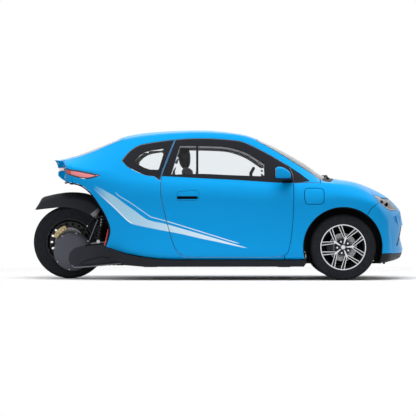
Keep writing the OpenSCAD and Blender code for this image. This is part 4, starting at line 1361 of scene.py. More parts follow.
def lamp_pick(p):
    x = p[:, 0]
    red = (x >= LAMP_SPLITS[0]) & (x < LAMP_SPLITS[1])
    return np.where(in_side(LAMP_FACE)(p) | (x < LAMP_CORNER), np.where(red, 0, 1), 2)


LAMP_RINGS = [side(TAIL_LIGHT), side(LAMP_FACE), TAIL_LINE,
              *(side(pts([x / MM, 940], [x / MM, 1110])) for x in LAMP_SPLITS)]
fit_pair(shell("tail_lamp_right", [
    Patch(LAMP_RINGS, lambda c, p: right(p) & in_side(TAIL_LIGHT)(p), (X_TAIL, -1.05, -1.2, -.4),
          step=0.012),
    end_patch(TAIL_SEAM, tail_place, END_CUTS, lambda p: (p[:, 1] < -REAR_Y) & in_lamp_band(p))],
    [RED, PINK, SMOKE, SMOKE], .036, start=.001, gap=.0015, pick=lamp_pick, seam=TAIL_SEAM,
    calm=3), "car", "rear_lights")
fit(shell("rear_light_bar", [
    end_patch(TAIL_SEAM, tail_place, END_CUTS,
              lambda p: (np.abs(p[:, 1]) < REAR_Y) & (p[:, 2] < HATCH_LOW) & in_lamp_band(p))],
    [PINK, SMOKE], .014, start=.001, gap=.002), "car")


# Lip of painted shade along the rear wheel bay, reflectors, sills
BAY_EDGE = smooth([[-1536, 990], [-1520, 971], [-1471, 938], [-1400, 915], [-1307, 893],
                   [-1232, 842], [-1165, 768], [-1118, 697], [-1071, 621], [-1032, 530],
                   [-1019, 460], [-1033, 394], [-1061, 310]])
# Painted shade: a black strip about 9 mm wide along the rear wheel bay's edge, where the body's
# return flange lies in shade
BAY_SHADE_LIP = closed(BAY_EDGE, (BAY_EDGE + np.column_stack([np.interp(
    BAY_EDGE[:, 1], [.3, .5, .9, 1], [-9, -9, -4, 0]), np.interp(
        BAY_EDGE[:, 1], [.3, .5, .9, 1], [0, 0, -8, -9])]) * MM)[::-1])
fit_pair(side_panel("bay_lip_right", BAY_SHADE_LIP, [], X_TAIL, -.95, [BLACK, BLACK], .016,
                    start=.003, step=.012), "car")
REFLECTOR = closed(smooth([[-1066, 322], [-1046, 400], [-1034, 480]]),
                   smooth([[-1044, 480], [-1060, 400], [-1078, 326]]))
fit_pair(prism("side_reflector_right", REFLECTOR[:-1] / MM, -646, -606, [RED], 2), "car")
SILL_TRIM = np.vstack([smooth([[-1050, 300], [-1019, 292], [-925, 260], [-831, 236], [-643, 206],
                               [-455, 188]], 3) / MM,
                       [[812, 188], [818, 150], [800, 128], [-690, 126], [-880, 142],
                        [-1010, 205]]])
fit_pair(prism("sill_trim_right", SILL_TRIM, -806, -724, [BLACK], 9), "car", "sill_trims")


# --------------------------------------------------------------------------
# Handles, mirrors, wipers, wheel-arch skirts
# Painted shade: the handle's walls and the pocket behind its slot are near-black, for the shade in
# the slot
fit_pair(side_panel("handle_skin_right", HANDLE, [HANDLE_SLOT], -.45, -.14, [PAINT, SHADOW],
                    .012, start=-.001, gap=.0012, step=.010, roll=.002), "right_door")
fit_pair(side_panel("handle_pocket_right", HANDLE, [], -.45, -.14, [SHADOW, SHADOW], .034,
                    start=.030, gap=-.006, step=.016), "right_door")


def mirror_cap():
    """Housing with a flat foot and a brow that falls forward: rings from the door outwards."""
    outline = smooth([[531, 968], [531, 1010], [534, 1044], [552, 1062], [585, 1061], [625, 1046],
                      [656, 1024], [674, 998], [677, 972], [668, 958], [610, 956], [548, 957],
                      [531, 968]], 4)[:-1] / MM
    centre = np.array([596, 1004])
    rings = [np.insert(centre + (outline - centre) * (wide, tall), 1, y, 1) * MM
             for y, wide, tall in ((-800, .66, .70), (-808, .84, .86), (-826, .95, .96),
                                   (-862, 1, 1), (-900, .99, .99), (-916, .94, .94),
                                   (-926, .83, .83), (-930.5, .62, .62))]
    return loft("mirror_cap_right", rings, [PAINT], sharp=60)


def mirror_right():
    cap = mirror_cap()
    foot = loft("mirror_foot", [np.array([(x0, y, z0), (x1, y, z0 + 3), (x1, y, z1), (x0, y, z1)])
                                * MM for y, x0, x1, z0, z1 in (
        (-745, 606, 700, 926, 950), (-790, 585, 692, 932, 956), (-830, 558, 676, 944, 964),
        (-895, 548, 664, 949, 964))], [BLACK])
    bevel(foot, 4)
    y, z, ways = -868, 1010, circle(1, 36)
    ways = np.sign(ways) * np.abs(ways) ** .6
    face = np.column_stack([np.full(36, 530.5), y + ways[:, 0] * 52, z + ways[:, 1] * 42])
    inner = face * (1, .88, .94) + (0, y * .12, z * .06)
    rim = loft("mirror_rim", [face * MM, (face + (-4, 0, 0)) * MM, (inner + (-4, 0, 0)) * MM,
                              (inner + (2, 0, 0)) * MM], [GLOSS], caps=False)
    glass = loft("mirror_pane", [(inner + (-1, 0, 0)) * MM, (inner + (3, 0, 0)) * MM],
                 [MIRROR_GLASS])
    return joined("mirror_housing_right", cap, foot, rim, glass)


fit_pair(mirror_right(), "right_door", "mirror_right")


def surface_top(x, y):
    """Height of the body's upper surface over (x, y), in millimetres."""
    c = locate(pts([x, y], [x + 1, y]), (0, 1), (CROWN, BELT))
    return skin(*from_chart(c))[0, 2] / MM


def wiper(name, pivot, reach, swing):
    """Arm, blade and rubber of one wiper, lying on the lower windscreen."""
    x0, y0 = pivot
    points = []
    for f in np.linspace(0, 1, 9):
        x, y = x0 + swing * f, y0 + reach * f
        points.append((x, y, surface_top(x, y) + 9 + 9 * math.sin(math.pi * f)))
    arm = tube("arm", points, np.array([(-6, -3), (6, -3), (6, 3), (-6, 3)]), [BLACK],
               up=(0, 0, 1))
    blade = []
    for f in np.linspace(-.52, .52, 15):
        x, y = x0 + swing + f * 26 * np.sign(reach), y0 + reach * (1 + f)
        blade.append((x, y, surface_top(x, y) + 5))
    edge = tube("blade", blade, np.array([(-5, -4), (5, -4), (2, 4), (-2, 4)]), [SEAL],
                up=(0, 0, 1))
    hub = lathe("hub", [(0, 0), (14, 0), (16, 4), (15, 12), (9, 16), (0, 16)], (0, 0), [BLACK],
                n=24)
    hub.data.transform(Matrix.Translation(Vector((x0, y0, points[0][2] - 12)) * MM)
                       @ Matrix.Rotation(math.pi / 2, 4, "X"))
    return joined(name, arm, edge, tidy(hub))


fit(wiper("wiper_driver", (1040, 60), 330, -34), "car")
fit(wiper("wiper_passenger", (1040, -430), 300, -14), "car")


def arch_liner():
    """Lining of a front wheel arch, with a lip that stands behind the fender's edge."""
    (axle_x, axle_z), face, back, lip, inboard = FRONT_AXLE / MM, 367.5, 371, 388, -430
    rings = []
    for a in np.radians(np.linspace(-24, 204, 58)):
        y = float(np.interp(axle_x + back * math.cos(a), [780, 1300, 1450, 1545],
                            [-788, -790, -752, -690]))
        rings.append([(axle_x + r * math.cos(a), w, axle_z + r * math.sin(a)) for r, w in (
            (face, y), (face, inboard), (back, inboard), (back, y + 8), (lip, y + 8), (lip, y))])
    return loft("arch_liner_right", np.array(rings) * MM, [UNDER], sharp=40)


fit_pair(arch_liner(), "car")
fit_pair(prism("chin_nub_right", [(1552, 168), (1554, 152), (1566, 148), (1572, 154),
                                  (1572, 170)], -640, -560, [BLACK], 2), "car")
# Painted shade: near-black blocks at the rear foot of each front arch and inboard of each front
# wheel, where the wheel bay lies in shade
fit_pair(block("arch_foot_right", (776, -786, 150), (818, -640, 262), [SHADOW], 2), "car")
fit_pair(block("wing_panel_right", (1010, -330, 170), (1340, -322, 600), [SHADOW], 2), "car")
bay_edge = BAY_EDGE[BAY_EDGE[:, 1] < .80] / MM
fit(prism("bay_screen", np.vstack([bay_edge + (34, 0), (bay_edge - (120, 0))[::-1]]), 296, 300,
          [UNDER], 0), "car")


# --------------------------------------------------------------------------
# Wheels. Right-hand pieces are drawn about their axle with the outer face
# towards -Y, then moved to their place.
FRONT_WHEEL = Vector((1170, -700, 310)) * MM
REAR_WHEEL = Vector((-1430, 0, 350)) * MM


def moved(piece, centre):
    piece.data.transform(Matrix.Translation(centre))
    return piece


def tyre(name, r, width, bead, blocks):
    """Tyre with a ribbed middle, rows of shoulder blocks and rings on its walls."""
    h = width / 2
    wall = [(bead, -h + 14), (bead + 6, -h + 6), (bead + 16, -h + 3), (bead + 18, -h + .5),
            (bead + 22, -h + .5), (bead + 24, -h + 2), (bead + 46, -h), (bead + 58, -h + .4),
            (bead + 60, -h + 2), (r - 34, -h + 4), (r - 32, -h + 2.5), (r - 24, -h + 5),
            (r - 16, -h + 11), (r - 10, -h + 19)]
    base, ribs = r - 7, []
    for y0, y1 in ((-h + 20, -34), (-28, -10), (-5, 5), (10, 28), (34, h - 20)):
        top = base if abs(y0) > 30 and abs(y1) > 30 else r
        ribs += [(base, y0), (top, y0 + .4), (top, y1 - .4), (base, y1)]
    back = [(q, -y) for q, y in wall[::-1]]
    inner = [(bead, h - 24), (bead + 7, h - 30), (bead + 7, -h + 30), (bead, -h + 24)]
    body = lathe(name, wall + ribs + back + inner, (0, 0), [RUBBER], n=120, sharp=28)
    half = math.pi / blocks * .80
    rows = []
    for n, k in enumerate((-1, 1)):
        y0, y1 = sorted((k * 39, k * (h - 15)))
        corners = []
        for a in (-half, half):
            for q, y in ((r - 9, y0), (r - (7 if k < 0 else 0), y0), (r - (0 if k < 0 else 7), y1),
                         (r - 9, y1)):
                slant = a + .018 * (abs(y) / h - .5)
                corners.append((q * math.sin(slant), y, q * math.cos(slant)))
        shape = mesh_object("block", np.array(corners) * MM,
                            [(0, 1, 2, 3), (7, 6, 5, 4), (0, 4, 5, 1), (1, 5, 6, 2), (2, 6, 7, 3),
                             (3, 7, 4, 0)], [])
        tidy(shape)
        rows.append(repeated("%s_row_%d" % (name, n), shape, blocks, RUBBER,
                             turn=(0, 360 / blocks, 0)))
    return joined(name, body, *rows)


def spoke(name, start, end, w0, w1, y0, y1, groove, depth=20):
    """One bar of the wheel's star, from start to end (x, z); groove sinks its middle."""
    start, end = np.array(start, float), np.array(end, float)
    t = unit(end - start)
    n = np.array([-t[1], t[0]])
    rings = []
    for f in (0, 1):
        c, w, y = start + (end - start) * f, w0 + (w1 - w0) * f, y0 + (y1 - y0) * f
        rim = min(9, w * .62)
        outline = [(-w, depth), (-w, 1), (-w + 1, 0), (-w + rim - 1, 0), (-w + rim, groove),
                   (w - rim, groove), (w - rim + 1, 0), (w - 1, 0), (w, 1), (w, depth)]
        rings.append([(c[0] + n[0] * s, y + h, c[1] + n[1] * s) for s, h in outline])
    kinds = [1, 1, 0, 1, 1, 1, 0, 1, 1, 1] if groove else [1, 1, 0, 0, 0, 0, 0, 1, 1, 1]
    return loft(name, np.array(rings) * MM, [RIM_FACE, RIM_DARK], kinds, sharp=20)


def star(name):
    """Five forked spokes round the hub."""
    parts, rim_r, fork = [], 204, math.radians(23)
    for k in range(5):
        group = [spoke("trunk", (30, 0), (97, 0), 5, 11.5, -77, -80, 0)]
        group += [spoke("arm", (88, 5 * s), (rim_r * math.cos(fork), rim_r * s * math.sin(fork)),
                        12, 19, -79.5, -86, 7) for s in (-1, 1)]
        parts += [turned(part, -(72 * k + 3.5), (0, 0, 0)) for part in group]
    return joined(name, *parts)


def front_rim():
    barrel = lathe("barrel", [
        (214, -93), (214, -88), (206, -84), (204, -72), (193, -52), (186, -20), (186, 40),
        (196, 66), (204, 76), (204, 86), (212, 90), (212, 94), (207, 94), (198, 86), (198, 78),
        (190, 68), (180, 44), (180, -20), (187, -50), (198, -74), (203, -86), (205, -93)],
        (0, 0), [RIM_DARK, RIM_FACE], [1] + [0] * 19 + [1, 1], n=120)
    hub = lathe("hub", [
        (0, -84), (13, -84), (15, -86), (19, -86), (22, -82), (33, -74), (64, -66), (68, -58),
        (66, -30), (30, -30), (28, 10), (0, 10)], (0, 0), [RIM_DARK, RIM_FACE],
        [1] * 4 + [0] * 8, n=60)
    a, bolt_r = math.radians(39.5), 56
    at = np.array([bolt_r * math.cos(a), bolt_r * math.sin(a)])
    nut = prism("nut", circle(9.5, 6) + at, -86, -60, [RIM_FACE], 1.2)
    nuts = repeated("nuts", nut, 5, RIM_FACE, turn=(0, 72, 0))
    pocket = lathe("pocket", [(13, -70), (13, -66), (15.5, -66), (15.5, -72)], (0, 0), [RIM_DARK],
                   n=20)
    moved(pocket, Vector((at[0], 0, at[1])) * MM)
    pockets = repeated("pockets", pocket, 5, RIM_DARK, turn=(0, 72, 0))
    return joined("front_rim_right", barrel, star("star"), hub, nuts, pockets)


def brake_disc(name, r, hub_r, y, thick, finish):
    """Two rubbing faces with cooling vanes between, a hat, and drilled holes drawn as near-black
    discs of painted shade.
    """
    web = [(hub_r, y), (r * .58, y), (r * .60, y - 1), (r, y - 1), (r, y + thick * .3),
           (r * .62, y + thick * .34), (r * .62, y + thick * .66), (r, y + thick * .7),
           (r, y + thick + 1), (r * .60, y + thick + 1), (r * .58, y + thick), (hub_r, y + thick)]
    plates = lathe("plates", web, (0, 0), [finish], n=90)
    vane = block("vane", (r * .62, y + thick * .3, -1.5), (r - 2, y + thick * .7, 1.5), [finish], 0)
    vanes = repeated("vanes", vane, 40, finish, turn=(0, 9, 0))
    # Painted shade: each drilled hole is a near-black disc on the outer face
    holes = []
    for n, (q, turn) in enumerate(((.72, 0), (.86, 7.5))):
        hole = prism("hole", circle(3.4, 8) + np.array([r * q, 0]), y - 1.4, y + 2, [SHADOW], 0)
        turned(hole, turn, (0, 0, 0))
        holes.append(repeated("holes_%d" % n, hole, 24, SHADOW, turn=(0, 15, 0)))
    return joined(name, plates, vanes, *holes)


for node, maker, *sizes in (
        ("front_tyre_right", tyre, "front_tyre_tread_right", 310, 195, 204, 72),
        ("front_rim_right", front_rim),
        ("brake_disc_right", brake_disc, "front_disc_right", 132, 34, 6, 20, DISC_FACE)):
    fit_pair(moved(maker(*sizes), FRONT_WHEEL), "right_front_wheel", node)
dress(CAST, "knuckle_left", "knuckle_right")

fit(moved(tyre("rear_tyre_tread", 350, 225, 216, 84), REAR_WHEEL), "rear_wheel", "rear_tyre")
fit(moved(brake_disc("rear_disc_ring", 140, 46, -74, 8, REAR_DISC_FACE), REAR_WHEEL),
    "rear_wheel", "rear_disc")


def rear_rim():
    """Deep barrel with a perforated web and a hub."""
    barrel = lathe("barrel", [
        (226, -108), (226, -103), (218, -99), (216, -86), (205, -64), (198, -20), (198, 50),
        (208, 80), (216, 90), (216, 100), (225, 104), (225, 109), (219, 109), (210, 100),
        (210, 92), (202, 82), (192, 52), (192, -20), (199, -62), (210, -88), (213, -103),
        (219, -109)], (0, 0), [RIM_DARK], n=120)
    hub = lathe("hub", [(20, -60), (44, -60), (46, -54), (48, -30), (60, -22), (60, 30), (46, 60),
                        (44, 98), (20, 98)], (0, 0), [RIM_DARK], n=60)
    oval = circle(1) * (13, 10) + (174, 0)
    holes = [closed(oval @ np.array([[math.cos(a), math.sin(a)], [-math.sin(a), math.cos(a)]])
                    * MM) for a in np.radians(np.arange(0, 360, 20))]
    outer, inner = closed(circle(196, 90) * MM), closed(circle(54, 60) * MM)

    def web_keep(c, p):
        ok = inside(outer, c) & ~inside(inner, c)
        for hole in holes:
            ok &= ~inside(hole, c)
        return ok

    def web_place(c):
        """The web bulges outwards from its hub to its rim."""
        share = np.clip((np.linalg.norm(c, axis=1) - .06) / .13, 0, 1)
        return np.column_stack([c[:, 0], -.036 - .012 * share ** 2, c[:, 1]])

    web = shell("web", [Patch([outer, inner, *holes], web_keep, (-.2, .2, -.2, .2), .02,
                              web_place, (0, -1, 0))], [RIM_DARK, RIM_DARK], .012, roll=.0015)
    return joined("rear_rim_web", barrel, hub, web)


fit(moved(rear_rim(), REAR_WHEEL), "rear_wheel", "rear_rim")


# --------------------------------------------------------------------------
# Swingarm, drive and suspension
AXLE, PIVOT, DRIVE = (-1430, 350), (-955, 268), (-1394, 262)    # centres (x, z)


def level(centre):
    """The place of a centre (x, z) on the car's middle plane, in metres."""
    return Vector((centre[0], 0, centre[1])) * MM


ARM = smooth([[-880, 360], [-1067, 361], [-1160, 354], [-1259, 342], [-1330, 348], [-1400, 352],
              [-1470, 318], [-1490, 262], [-1470, 190], [-1420, 140], [-1365, 112], [-1284, 116],
              [-1188, 122], [-1092, 133], [-996, 142], [-880, 160]], 5) / MM
FACE_BACK = [[-880, 344], [-1067, 335], [-1200, 323], [-1339, 303], [-1387, 282], [-1415, 253],
             [-1427, 220], [-1430, 181], [-1415, 143], [-1387, 117], [-1284, 116], [-1188, 122],
             [-1092, 133], [-996, 142], [-880, 150]]
HOLLOW = [[-1325, 140], [-1277, 173], [-1229, 187], [-1134, 211], [-1105, 216], [-1057, 202],
          [-990, 211], [-890, 190], [-880, 158], [-996, 152], [-1092, 146], [-1188, 136],
          [-1278, 129]]


def recessed_plate(name, outline, hollow, y, depth, thick, finish):
    """A plate in the plane of the wheels, with a hollow pressed into its outer face."""
    outline, hollow = (closed(smooth(line, 4)) for line in (outline, hollow))
    floor = grown(hollow, -.007)                 # the hollow's walls are 7 mm wide
    sunk_area = grown(floor, .0008)

    def place(c):
        sunk = inside(sunk_area, c)
        return np.column_stack([c[:, 0], (y + depth * sunk) * MM, c[:, 1]])

    low, high = outline.min(0), outline.max(0)
    return shell(name, [Patch([outline, hollow, floor], lambda c, p: inside(outline, c),
                              (low[0], high[0], low[1], high[1]), .016, place, (0, -1, 0))],
                 [finish, finish], thick * MM, roll=.004)


arm = prism("arm_casting", ARM, -190, -128, [CAST_EDGE], 6)
face = recessed_plate("arm_face", FACE_BACK, HOLLOW, -262, 12, 40, CAST)
gasket = prism("arm_gasket", smooth([[x - (8 if x < -1300 else 0), z + (9 if z > 250 else 0)]
                                     for x, z in FACE_BACK], 4) / MM, -243, -188, [SHADOW], 2)
flange = tube("arm_flange", [(x, -262, z) for x, z in (
    (-1405, 132), (-1374, 109), (-1278, 114), (-1182, 121), (-1086, 132), (-990, 141),
    (-884, 149))], np.array([(-5, -3.2), (5, -3.2), (5, 3.2), (-5, 3.2)]), [CAST_EDGE])


def leg_outline(inset=0):
    """Outline of the left leg: round the axle at one end, round the pivot at the other."""
    a, b, ra, rb = np.array(AXLE), np.array(PIVOT), 62 - inset, 70 - inset
    t = math.atan2(*(b - a)[::-1])
    turn = math.acos((ra - rb) / np.linalg.norm(b - a))
    return np.vstack([centre + r * np.column_stack([np.cos(q), np.sin(q)]) for centre, r, q in (
        (a, ra, np.linspace(t + turn, t + 2 * math.pi - turn, 24)),
        (b, rb, np.linspace(t - turn, t + turn, 24)))])


leg = prism("arm_leg", leg_outline(), 128, 164, [CAST], 5)
leg_rib = prism("arm_leg_rib", leg_outline(16), 160, 172, [CAST_EDGE], 4)
plate = block("arm_plate", (-1060, -129, 148), (-900, 129, 164), [CAST], 3)
axle = lathe("rear_axle", [(0, -136), (14, -136), (19.9, -130), (19.9, 172), (26, 172), (26, 184),
                           (15, 186), (0, 186)], AXLE, [STEEL], n=32)
fit(joined("swingarm_casting", arm, face, gasket, flange, leg, leg_rib, plate, axle), "car",
    "swingarm")
cover = lathe("cover", [(0, -191), (184, -191), (186, -201), (184, -212), (180, -219), (172, -226),
                        (160, -233), (140, -241), (110, -247), (70, -250), (0, -252)],
              DRIVE, [COVER_SKIN], n=96)
screw = prism("screw", circle(6, 6) + np.array([177, 0]), -226, -206, [STEEL], 1)
screws = repeated("screws", screw, 8, STEEL, turn=(0, 45, 0))
moved(turned(screws, 11, (0, 0, 0)), level(DRIVE))
fit(joined("drive_cover_dome", cover, screws), "car", "drive_cover")

motor = lathe("motor_can", [(0, -118), (60, -118), (80, -112), (84, -100), (84, 100), (80, 112),
                            (60, 118), (0, 118)], PIVOT, [CAST_EDGE], n=64)
fin = block("fin", (82, -92, -1.2), (88, 92, 1.2), [CAST_EDGE], 0)
fins = moved(repeated("fins", fin, 48, CAST_EDGE, turn=(0, 7.5, 0)), level(PIVOT))
fit(joined("motor_with_fins", motor, fins), "car", "drive_motor")

FOOT, TOP_MOUNT = np.array([-1146, -192, 380.]), np.array([-1112, -192, 600.])


def coil_tree():
    """A coil spring with a round wire, standing on the origin."""
    tree, given = shape_tree("coil", Turns="Float", Radius="Float", Height="Float",
                             Wire="Float", Finish="Material")
    add, link = tree.nodes.new, tree.links.new
    spiral, wire, skinned = map(add, (
        "GeometryNodeCurveSpiral", "GeometryNodeCurvePrimitiveCircle", "GeometryNodeCurveToMesh"))
    spiral.inputs["Resolution"].default_value = 28
    wire.inputs["Resolution"].default_value = 10
    for socket, target in (("Turns", "Rotations"), ("Radius", "Start Radius"),
                           ("Radius", "End Radius"), ("Height", "Height")):
        link(given[socket], spiral.inputs[target])
    link(given["Wire"], wire.inputs["Radius"])
    link(spiral.outputs[0], skinned.inputs["Curve"])
    link(wire.outputs[0], skinned.inputs["Profile Curve"])
    skinned.inputs["Fill Caps"].default_value = True
    return ended(tree, given, skinned.outputs[0])


def rod(name, a, b, r, finish, n=16):
    return tube(name, [a, b], circle(r, n), [finish], up=(0, 1, 0.01))


UPWARDS = unit(TOP_MOUNT - FOOT)
LENGTH = np.linalg.norm(TOP_MOUNT - FOOT)
coil = grown_from(coil_tree(), "coil", {"Turns": 7.5, "Radius": .046, "Height": (LENGTH - 26) * MM,
                                        "Wire": .0065, "Finish": SPRING})
lean = Vector((0, 0, 1)).rotation_difference(Vector(UPWARDS)).to_matrix().to_4x4()
coil.data.transform(Matrix.Translation(Vector((FOOT + 10 * UPWARDS) * MM)) @ lean)
tidy(coil, 60)
damper = [coil] + [rod(name, FOOT + low * UPWARDS, FOOT + high * UPWARDS, r, finish, n)
                   for name, low, high, r, finish, n in (
    ("damper_body", -8, 120, 24, SPRING, 16), ("damper_rod", 118, LENGTH, 11, STEEL, 16),
    ("foot_seat", -2, 8, 56, BLACK, 32),
    ("top_seat", LENGTH - 14, LENGTH - 3, 56, BLACK, 32))]
damper += [rod("foot_eye", FOOT + (-4, -24, -24), FOOT + (-4, 24, -24), 17, STEEL, 24),
           tube("damper_hose", [(-1153, -246, 563), (-1172, -250, 520), (-1200, -250, 450),
                                (-1224, -247, 390), (-1232, -240, 366)], circle(5.5, 10),
                [CAST_EDGE])]
fit(joined("rear_damper_coil", *damper), "car", "rear_damper")

# Mudguard: columns x, height of the skirt's edge, of the shoulder and of the top
GUARD = np.array([
    [-1760, 660, 664, 668], [-1727, 664, 706, 724], [-1692, 668, 738, 779],
    [-1625, 675, 756, 801], [-1529, 684, 766, 821], [-1432, 681, 768, 831],
    [-1335, 658, 762, 828], [-1248, 616, 740, 812], [-1190, 576, 706, 776],
    [-1150, 548, 676, 736]], float)
_guard = np.vstack([spline(GUARD, np.arange(8) / 8, np.full(8, i)) for i in range(len(GUARD) - 1)]
                   + [GUARD[-1:]])


GUARD_STEP, GUARD_EDGE = .09, .27        # one way unit, and the mudguard's edge at three of them
GUARD_WAYS = [0, .7, 1, 1.3, 1.85, 2]    # ways across, and how much lower they lie as a share
GUARD_DROP = [0, .02, .08, .24, .84, 1]  # of the height from the top to the shoulder


def guard_place(c):
    """Places (x, way across) on the mudguard: its middle, shoulder (2) and edge (3)."""
    skirt, shoulder, top = (np.interp(c[:, 0], _guard[:, 0] * MM, _guard[:, k]) for k in (1, 2, 3))
    way = np.abs(c[:, 1]) / GUARD_STEP
    y = np.interp(way, [0, .7, 1.0, 1.3, 1.85, 2.0, 2.15, 3],
                  [0, 62, 80, 94, 122, 126, 127, 127])
    z = np.where(way > 2, shoulder - (shoulder - skirt) * (way - 2),
                 top - (top - shoulder) * np.interp(way, GUARD_WAYS, GUARD_DROP))
    return np.column_stack([c[:, 0], np.sign(c[:, 1]) * y * MM, z * MM])


(back_x, front_x), edge_y = GUARD[[0, -1], 0] * MM, GUARD_EDGE
guard_frame = closed(np.array([(back_x, -edge_y), (front_x, -edge_y), (front_x, edge_y),
                               (back_x, edge_y)]))
creases = [np.array([(back_x, k * GUARD_STEP * way), (front_x, k * GUARD_STEP * way)])
           for k in (-1, 1) for way in (1.0, 1.3, 1.85, 2.15)]
fit(shell("mudguard_shell", [
    Patch([guard_frame, *creases],
          lambda c, p: (np.abs(c[:, 1]) < edge_y) & (c[:, 0] > back_x) & (c[:, 0] < front_x),
          (back_x, front_x, -edge_y, edge_y), .018, guard_place, (0, 0, 1))],
    [GUARD_SKIN, SHEET], .005, roll=.002), "car", "rear_mudguard")
stay = prism("stay", [(-1230, 620), (-1158, 678), (-1134, 659), (-1173, 582), (-1200, 590)],
             -140, -130, [CAST_EDGE], 2)
bolt = lathe("stay_bolt", [(0, -150), (6, -150), (8, -147), (8, -128), (0, -128)], (-1259, 505),
             [STEEL], n=16)
strut = tube("strut", [(-1182, -136, 600), (-1259, -136, 505), (-1290, -136, 430),
                       (-1290, -150, 345)], circle(6, 10), [SPRING])
fit(joined("mudguard_stay", stay, bolt, strut), "car")


def sector(r0, r1, a0, a1, n=12):
    """Outline of a piece of a ring, between two radii and two angles."""
    a = np.radians(np.linspace(a0, a1, n))
    ring = np.column_stack([np.cos(a), np.sin(a)])
    return np.vstack([ring * r1, ring[::-1] * r0])


def rear_caliper():
    """Bridge over the disc with two piston housings and their bolts."""
    parts = [prism("outer", sector(112, 162, 103, 163), -98, -77, [BRONZE], 4),
             prism("inner", sector(100, 160, 105, 161), -63, -50, [BRONZE], 3),
             prism("bridge", sector(147, 166, 108, 158), -92, -54, [BRONZE], 3)]
    for n, a in enumerate((118, 148)):
        q = np.array([math.cos(math.radians(a)), math.sin(math.radians(a))]) * 134
        parts.append(lathe("piston_%d" % n, [(0, -107), (15, -107), (19, -103), (20, -94),
                                             (20, -80), (0, -80)], q, [BRONZE], n=24))
        parts.append(lathe("bolt_%d" % n, [(0, -112), (6, -112), (7, -110), (7, -100), (0, -100)],
                           q, [STEEL], n=12))
    return moved(joined("rear_caliper_body", *parts), REAR_WHEEL)


fit(rear_caliper(), "car", "rear_caliper")
# Dark dust shield behind the rear rim's web, also placed as painted shade so that the web's holes
# over it look dark
fit(prism("dust_shield", sector(118, 194, 14, 131, 30) + AXLE, 6, 9, [UNDER], 0), "car")


# --------------------------------------------------------------------------
# Cabin
def soft_ring(a0, a1, b0, b1, fix, axes, k=.28, n=28):
    """A soft-cornered rectangle in two axes, the third held at fix."""
    t = np.linspace(0, 2 * math.pi, n, endpoint=False)
    p = np.zeros((n, 3))
    for axis, low, high, way in ((axes[0], a0, a1, np.cos(t)), (axes[1], b0, b1, np.sin(t))):
        p[:, axis] = (low + high) / 2 + (high - low) / 2 * np.sign(way) * np.abs(way) ** k
    p[:, axes[2]] = fix
    return p


VOXEL, QUICK_VOXEL, LAST_FRAME = .006, .010, 20


def cushion(name, rings, finish, cap=9):
    """A stuffed pad: a closed form, puffed by pressure, no point by more than cap."""
    pad = loft(name, [np.asarray(r) * MM for r in rings], [finish], sharp=180)
    remesh = pad.modifiers.new("remesh", "REMESH")
    remesh.mode, remesh.voxel_size = "VOXEL", VOXEL
    made_plain(pad)
    start = np.array([v.co for v in pad.data.vertices])
    cloth = pad.modifiers.new("cloth", "CLOTH")
    cloth.settings.use_pressure, cloth.settings.uniform_pressure_force = True, 4
    cloth.settings.effector_weights.gravity = 0
    cloth.settings.quality = 4
    cloth.point_cache.frame_start, cloth.point_cache.frame_end = 1, LAST_FRAME
    for step in range(1, LAST_FRAME + 1):
        bpy.context.scene.frame_set(step)
    made_plain(pad)
    bpy.context.scene.frame_set(1)
    points = np.array([v.co for v in pad.data.vertices])
    move = points - start
    size = np.linalg.norm(move, axis=1, keepdims=True)
    points = start + move * np.minimum(1, cap * MM / np.maximum(size, 1e-9))
    pad.data.vertices.foreach_set("co", points.ravel())
    pad.data.update()
    return pad


